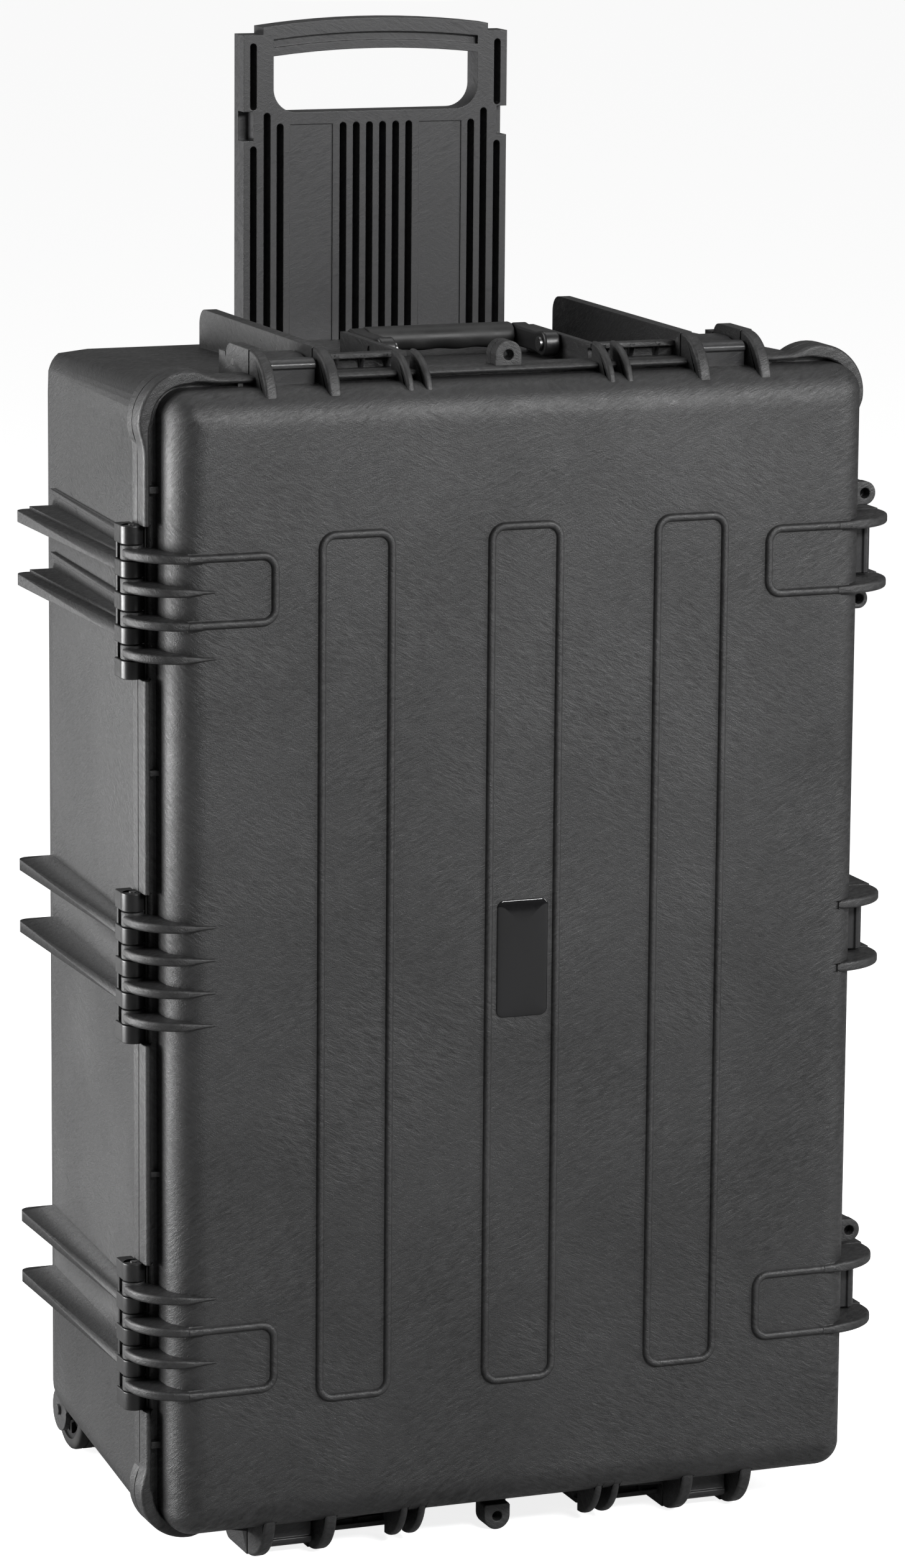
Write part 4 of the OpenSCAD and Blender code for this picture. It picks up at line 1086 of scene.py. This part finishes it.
@dataclass
class Base:
    """The base tub and what is fixed to it."""

    shop: Workshop
    end_knuckle: float = 46.65  # from the middle of a strip to its end knuckles
    strip: float = 106.0  # length of a strip
    front: Pair = (44.0, 57.5)  # depths that hold the rim
    tighter: float = 11.0  # what a corner's radius loses
    low_wall: float = -403.0  # bottom wall, under the rim
    low_edge: float = -413.3  # just past the bottom rim's edge
    low_clear: Pair = (132.0, 190.0)  # the bottom latches stand between
    draft: Pair = (16.0, 282.0)  # a side wall leans in by the first over the second
    bead: float = 3.5  # height of a bead on the left wall
    bead_rise: float = 18.0  # from a fin up to its bead

    def hinge_blocks(self) -> None:
        """Three clip-in hinge strips, each with five rounded knuckles and a backing plate."""
        c = CASE
        arm = rounded([(-279.8, 45, 0.3), (-268.3, 45, 0.3), (-268.3, 60.5, 1), (-279.8, 60.5, 1)])
        strip = rounded([(-278.4, 57.9, 0.8), (-268.0, 57.9, 0.8), (-268.0, 61.5, 0.8), (-278.4, 61.5, 0.8)])
        for name, m in zip(("top", "middle", "bottom"), c.hinge_z):
            parts = []
            spans = [(m + k * c.pitch, 5.85) for k in (-1, 0, 1)] + [(m + s * self.end_knuckle, 6.5) for s in (-1, 1)]
            for z, half in spans:
                parts += [knuckle(z, half, 2.6, 0.9), plate(arm, Plane.SIDE, z, 2 * half, 0.8)]
            parts.append(plate(strip, Plane.SIDE, m, self.strip, 0.8))
            self.shop.piece(f"hinge_strip_{name}", joined(parts), "base", Slot.GLOSS, f"hinge_block_{name}")

    def trimmed(self, tub: bpy.types.Object) -> None:
        """Gives the tub's copy tighter corners, smaller lobes, a lower bottom rim and longer right-hand ribs.

        A corner point at radius r about its old centre goes to radius r - 11 about a centre 11 mm further out both
        ways. A lobe point at angle a goes to the same share of the new lobe's arc. The bottom rim is drawn in to 0.3
        of its height under the wall, the beads above the top fins follow the left wall's lean, and the right-hand ribs
        are stretched outwards.

        Args:
            tub: the copy of the base shell.
        """
        c = CASE
        mesh = tub.data
        raw = np.empty(len(mesh.vertices) * 3)
        mesh.vertices.foreach_get("co", raw)
        points = (raw.reshape(-1, 3) - np.array([0.0, self.shop.datum.face, self.shop.datum.middle])) / MM
        x, d, z = points.T
        sx, sz = np.where(x > 0, 1, -1), np.where(z > 0, 1, -1)
        u, v = np.abs(x) - (c.rim_w - c.rim_r), np.abs(z) - (c.rim_h - c.rim_r)
        radius, angle = np.hypot(u, v), np.arctan2(v, u)
        front = (d > self.front[0]) & (d < self.front[1])
        old = math.acos(c.rim_r / (c.rim_r + c.bumper))
        within = (angle > -old - 0.02) & (angle < math.pi / 2 + old + 0.02)
        lobe = front & (np.abs(radius - c.rim_r - c.bumper) < 0.4) & within
        corner = ~lobe & (u > 0) & (v > 0) & (radius > 12) & ((z > 0) | (d < 60))
        cx = np.where(x > 0, c.lobe_right, c.lobe_left) - c.lobe
        cz = np.where(z > 0, c.lobe_top, c.lobe_low) - c.lobe
        meet = np.arccos(np.clip((c.rim_w - cx) / c.lobe, 0, 1))
        leave = np.arccos(np.clip((np.where(z > 0, c.rim_h, c.rim_low + 1) - cz) / c.lobe, 0, 1))
        new = -meet + (angle + old) / (math.pi / 2 + 2 * old) * (math.pi / 2 + meet + leave)
        kept = radius - self.tighter
        x_new = np.where(corner, sx * (c.rim_w - c.rim_r + self.tighter + kept * np.cos(angle)), x)
        z_new = np.where(corner, sz * (c.rim_h - c.rim_r + self.tighter + kept * np.sin(angle)), z)
        clear = (np.abs(x) < self.low_clear[0]) | (np.abs(x) > self.low_clear[1])
        low = front & ~lobe & (z_new < self.low_wall) & (z_new > self.low_edge) & clear
        z_new = np.where(low, self.low_wall + 0.3 * (z_new - self.low_wall), z_new)
        x_new = np.where(lobe, sx * (cx + c.lobe * np.cos(new)), x_new)
        z_new = np.where(lobe, sz * (cz + c.lobe * np.sin(new)), z_new)
        wall = c.rim_w - 5 - self.draft[0] * (d - c.parting) / self.draft[1]
        beads = near_any(z, c.hinge_z[0] + np.array([-1, 1]) * c.pitch + self.bead_rise, 2.6)
        x_new = np.where(beads & (x < -wall - 0.5) & (d > 60), -np.minimum(np.abs(x), wall + self.bead), x_new)
        stretch = np.where(near_any(z, c.latch_z, 28), (c.rib_right - c.rim_w) / (c.half_w - c.rim_w), 1.25)
        ribs = ~lobe & (x > c.rim_w) & (np.abs(z) < 345)
        x_new = np.where(ribs, c.rim_w + (x - c.rim_w) * stretch, x_new)
        mesh.vertices.foreach_set("co", self.shop.datum.place(np.stack([x_new, d, z_new], -1)).ravel())
        mesh.update()

    def build(self) -> None:
        """Makes the base's pieces and dresses its CAD nodes."""
        tub = smooth_copy("base_tub", "base_shell", 24)
        self.trimmed(tub)
        self.shop.mount(tub, "base", Slot.SHELL, "base_shell")
        self.hinge_blocks()
        for node in (
            "hinge_pin_top", "hinge_pin_middle", "hinge_pin_bottom", "latch_pins_right", "latch_pins_top",
            "latch_pins_bottom", "carry_screws_top", "carry_screws_bottom", "rear_cover", "cover_screws", "axle_left",
            "axle_right", "valve_body", "valve_cap", "valve_nut",
        ):
            self.shop.dress(node)


@dataclass
class Latches:
    """The seven draw latches: lever with an overhanging head, a flat front panel and a thumb hollow."""

    shop: Workshop

    def lever(self, half: float, rim: float) -> Surface:
        """A lever at the top, centred on x = 0.

        Args:
            half: half of its width.
            rim: level of the rim under it.

        Returns:
            The closed lever.
        """
        rise, pin = CASE.rise, CASE.pin_depth
        top = rim + rise + 6.2
        outline = rounded([
            (32.6, rim - 7.4, 0.8), (37.7, rim - 7.4, 0.6), (37.7, rim + 0.6, 0.5), (pin + 3, rim + 0.6, 2.5),
            (pin + 6.1, rim + rise, 3.0), (pin + 3, top - 0.1, 3.0), (62, top - 0.1, 3.0), (52, top - 2.2, 4.0),
            (42, top - 0.1, 3.0), (35, top - 0.1, 3.0), (31.1, top - 3.4, 1.2), (31.1, top - 6.4, 0.5),
            (32.6, top - 7.4, 0.4),
        ])
        return plate(outline, Plane.END, 0.0, 2 * half, 1.1)

    def build(self) -> None:
        """Places each lever at its latch."""
        c = CASE
        levers = {}
        end = self.lever(17.0, c.rim_h)
        for name, sx in (("left", -1), ("right", 1)):
            levers[f"top_{name}"] = end.moved((sx * c.latch_x, 0, 0))
        for name in ("left", "right"):
            levers[f"bottom_{name}"] = levers[f"top_{name}"].mirrored(Axis.Z)
        for name, z in zip(("top", "middle", "bottom"), c.latch_z):
            levers[f"right_{name}"] = self.lever(18.0, c.rim_w).sideways((0, 0, z))
        for name, lever in levers.items():
            self.shop.piece(f"lever_{name}", lever, f"latch_{name}", Slot.LATCH, f"latch_{name}")


@dataclass
class CarryHandle:
    """A folding carry handle: two arms, a bar and a soft grip with finger waves."""

    shop: Workshop
    name: str
    up: bool
    half: float = 68.0
    arm: float = 12.0

    def frame(self) -> Surface:
        """Both arms as rounded plates, and the bar between them."""
        near, z = CASE.pivot_depth, CASE.pivot_z
        far, neck = near + CASE.arm, 7.2
        outline = np.concatenate([
            arc(near, z, 9, 90, 270, 18),
            [[near + 12, z - neck], [far - 10, z - neck]],
            arc(far, z, 8.5, -90, 90, 18),
            [[far - 10, z + neck], [near + 12, z + neck]],
        ])
        arms = [plate(outline, Plane.END, s * (self.half - self.arm / 2), self.arm - 0.1, 1.8, 4) for s in (-1, 1)]
        end = self.half - 4
        bar = turned([(2.0, -end), (4.9, -end), (4.9, end), (2.0, end)], Axis.X, (0, far, z), 32)
        return joined([*arms, bar])

    def grip(self) -> Surface:
        """Grip rings along x, each an oval of half axes 11.4 and 8.95 times q, with its sides at |cos t|^0.9.

        q is 1 but for the rounded ends, and falls by 0.1 (1 - wave) times -sin t on the lower side, where the wave
        runs from 0 to 1 four times along the grip.

        Returns:
            The closed grip.
        """
        c = CASE
        length = self.half - self.arm - 0.6
        x = np.concatenate([
            [-length, -length + 0.4], np.linspace(-length + 1.2, length - 1.2, 45), [length - 0.4, length],
        ])
        size = np.minimum(1.0, 0.90 + 0.1 * np.sqrt(np.clip((length - np.abs(x)) / 1.2, 0, 1)))
        wave = 0.5 - 0.5 * np.cos(2 * np.pi * (x + length) / (length / 2))
        t = np.linspace(0, 2 * np.pi, 40, endpoint=False)
        low = np.clip(-np.sin(t), 0, 1)[None]
        squeeze = size[:, None] * (1 - 0.10 * (1 - wave[:, None]) * low)
        across = np.sign(np.cos(t)) * np.abs(np.cos(t)) ** 0.9
        depth = c.pivot_depth + c.arm + 2.5 + 11.4 * across * squeeze
        height = c.pivot_z + 8.95 * np.sin(t) * squeeze
        return skinned(np.stack([np.broadcast_to(x[:, None], depth.shape), depth, height], -1))

    def build(self) -> None:
        """Makes the frame and the grip."""
        parts = {"arms": (self.frame(), Slot.GLOSS, "frame"), "grip": (self.grip(), Slot.GRIP, "grip")}
        for part, (drawn, slot, node) in parts.items():
            surface = drawn if self.up else drawn.mirrored(Axis.Z)
            body = f"carry_handle_{self.name}"
            self.shop.piece(f"handle_{part}_{self.name}", surface, body, slot, f"carry_{node}_{self.name}")


@dataclass
class Wheels:
    """Wheels with treaded tyres."""

    shop: Workshop
    centre: Triple = (220.0, 321.0, -397.0)
    radius: float = 31.0

    def tyre(self, side: int) -> Surface:
        """A tyre with two shallow grooves, turned about the axle of that side, -1 or 1."""
        r = self.radius
        half = [(23.0, 11.7), (26.5, 12.0), (29.2, 11.6), (30.5, 10.6), (r, 9.0), (r, 5.2), (r - 0.3, 4.8)]
        half += [(r - 1.1, 4.6), (r - 1.1, 3.6), (r - 0.3, 3.4), (r, 3.0)]
        profile = [(a, -b) for a, b in half] + half[::-1]
        x, d, z = self.centre
        return turned(profile, Axis.X, (side * x, d, z), 96, looped=True)

    def build(self) -> None:
        """Makes both tyres and dresses the wheels."""
        for name, side in (("left", -1), ("right", 1)):
            self.shop.piece(f"tyre_tread_{name}", self.tyre(side), f"wheel_{name}", Slot.TYRE, f"tyre_{name}", sharp=50)
            self.shop.dress(f"wheel_{name}")


@dataclass
class PullHandle:
    """The sliding pull handle."""

    shop: Workshop

    def build(self) -> None:
        """Dresses the handle."""
        self.shop.dress("pull_handle")


@dataclass
class Studio:
    """Camera, pale floor and soft lights."""

    position: Triple = (-1.5746, -4.0512, 1.3818)
    right: Triple = (0.93077, -0.36551, 0.00838)
    down: Triple = (-0.06585, -0.19012, -0.97955)
    ahead: Triple = (0.35963, 0.91118, -0.20102)
    lens: float = 140.58
    shift: Pair = (-0.00734, 0.02728)
    air: float = 0.13

    def camera(self) -> None:
        """A long lens a little left of and above the case."""
        data = bpy.data.cameras.new("view")
        data.lens, data.sensor_width = self.lens, 36
        data.shift_x, data.shift_y = self.shift
        data.clip_end = 200
        eye = linked("view", data)
        columns = np.eye(4)
        columns[:3, 0] = self.right
        columns[:3, 1] = -np.array(self.down)
        columns[:3, 2] = -np.array(self.ahead)
        columns[:3, 3] = self.position
        eye.matrix_world = Matrix(columns.tolist())
        bpy.context.scene.camera = eye

    def softbox(self, name: str, place: Triple, aim: Triple, size: Pair, power: float) -> None:
        """A rectangular light that faces a point.

        Args:
            name: the light's name.
            place: its middle, in metres.
            aim: the point that it faces.
            size: its width and height.
            power: watts.
        """
        data = bpy.data.lights.new(name, "AREA")
        data.shape, data.size, data.size_y, data.energy = "RECTANGLE", size[0], size[1], power
        light = linked(name, data)
        light.location = place
        light.rotation_euler = (Vector(aim) - Vector(place)).to_track_quat("-Z", "Y").to_euler()

    def floor(self) -> None:
        """A wide floor that the camera sees as white, and that lights the case only a little."""
        n = Nodes("white_floor")
        seen = n.add("ShaderNodeLightPath").outputs["Is Camera Ray"]
        colour = n.shade(seen, (0.3, 0.3, 0.3), (0.8, 0.8, 0.8))
        material = n.finish(colour, 0.9, None, Specular_IOR_Level=0.1)
        shader = next(x for x in n.tree.nodes if x.type == "BSDF_PRINCIPLED")
        shader.inputs["Emission Color"].default_value = (1, 1, 1, 1)
        n.feed(shader.inputs["Emission Strength"], n.ranged(seen, 0, 1, 0.04, 0.84))
        mesh = bpy.data.meshes.new("floor")
        half = 60.0
        corners = [(-half, -half, 0), (half, -half, 0), (half, half, 0), (-half, half, 0)]
        mesh.from_pydata(corners, [], [(0, 1, 2, 3)])
        mesh.materials.append(material)
        linked("floor", mesh)

    def build(self) -> None:
        """Sets up the studio."""
        self.camera()
        self.floor()
        world = bpy.data.worlds.new("studio_air")
        world.use_nodes = True
        background = world.node_tree.nodes["Background"]
        background.inputs[0].default_value = (1.0, 1.0, 1.0, 1.0)
        background.inputs[1].default_value = self.air
        bpy.context.scene.world = world
        bpy.context.scene.view_settings.view_transform = "Standard"
        self.softbox("left_box", (-2.4, 1.0, 1.7), (0.0, 0.0, 0.8), (2.0, 1.2), 40)
        self.softbox("left_low_box", (-2.2, 1.0, 0.4), (0.0, 0.0, 0.15), (1.8, 0.6), 84)
        self.softbox("top_box", (0.3, 0.6, 2.7), (0.0, 0.1, 0.6), (2.0, 0.6), 10)
        self.softbox("front_box", (0.9, -2.9, 2.1), (0.1, 0.0, 0.85), (1.5, 0.5), 112)
        self.softbox("right_box", (2.6, -1.8, 1.4), (0.2, 0.0, 0.5), (0.8, 1.8), 48)
        log.info("studio ready")


def main() -> None:
    """Builds the case piece by piece, then the studio."""
    logging.basicConfig(level=logging.INFO, format="%(name)s: %(message)s")
    lid_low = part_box("lid_shell")[0]
    base_low, base_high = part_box("base_shell")
    datum = Datum(face=lid_low.y + CASE.bead * MM, middle=(base_low.z + base_high.z) / 2)
    shop = Workshop(datum)
    Lid(shop).build()
    Base(shop).build()
    Latches(shop).build()
    CarryHandle(shop, "top", True).build()
    CarryHandle(shop, "bottom", False).build()
    PullHandle(shop).build()
    Wheels(shop).build()
    Studio().build()


if __name__ == "__main__":
    main()
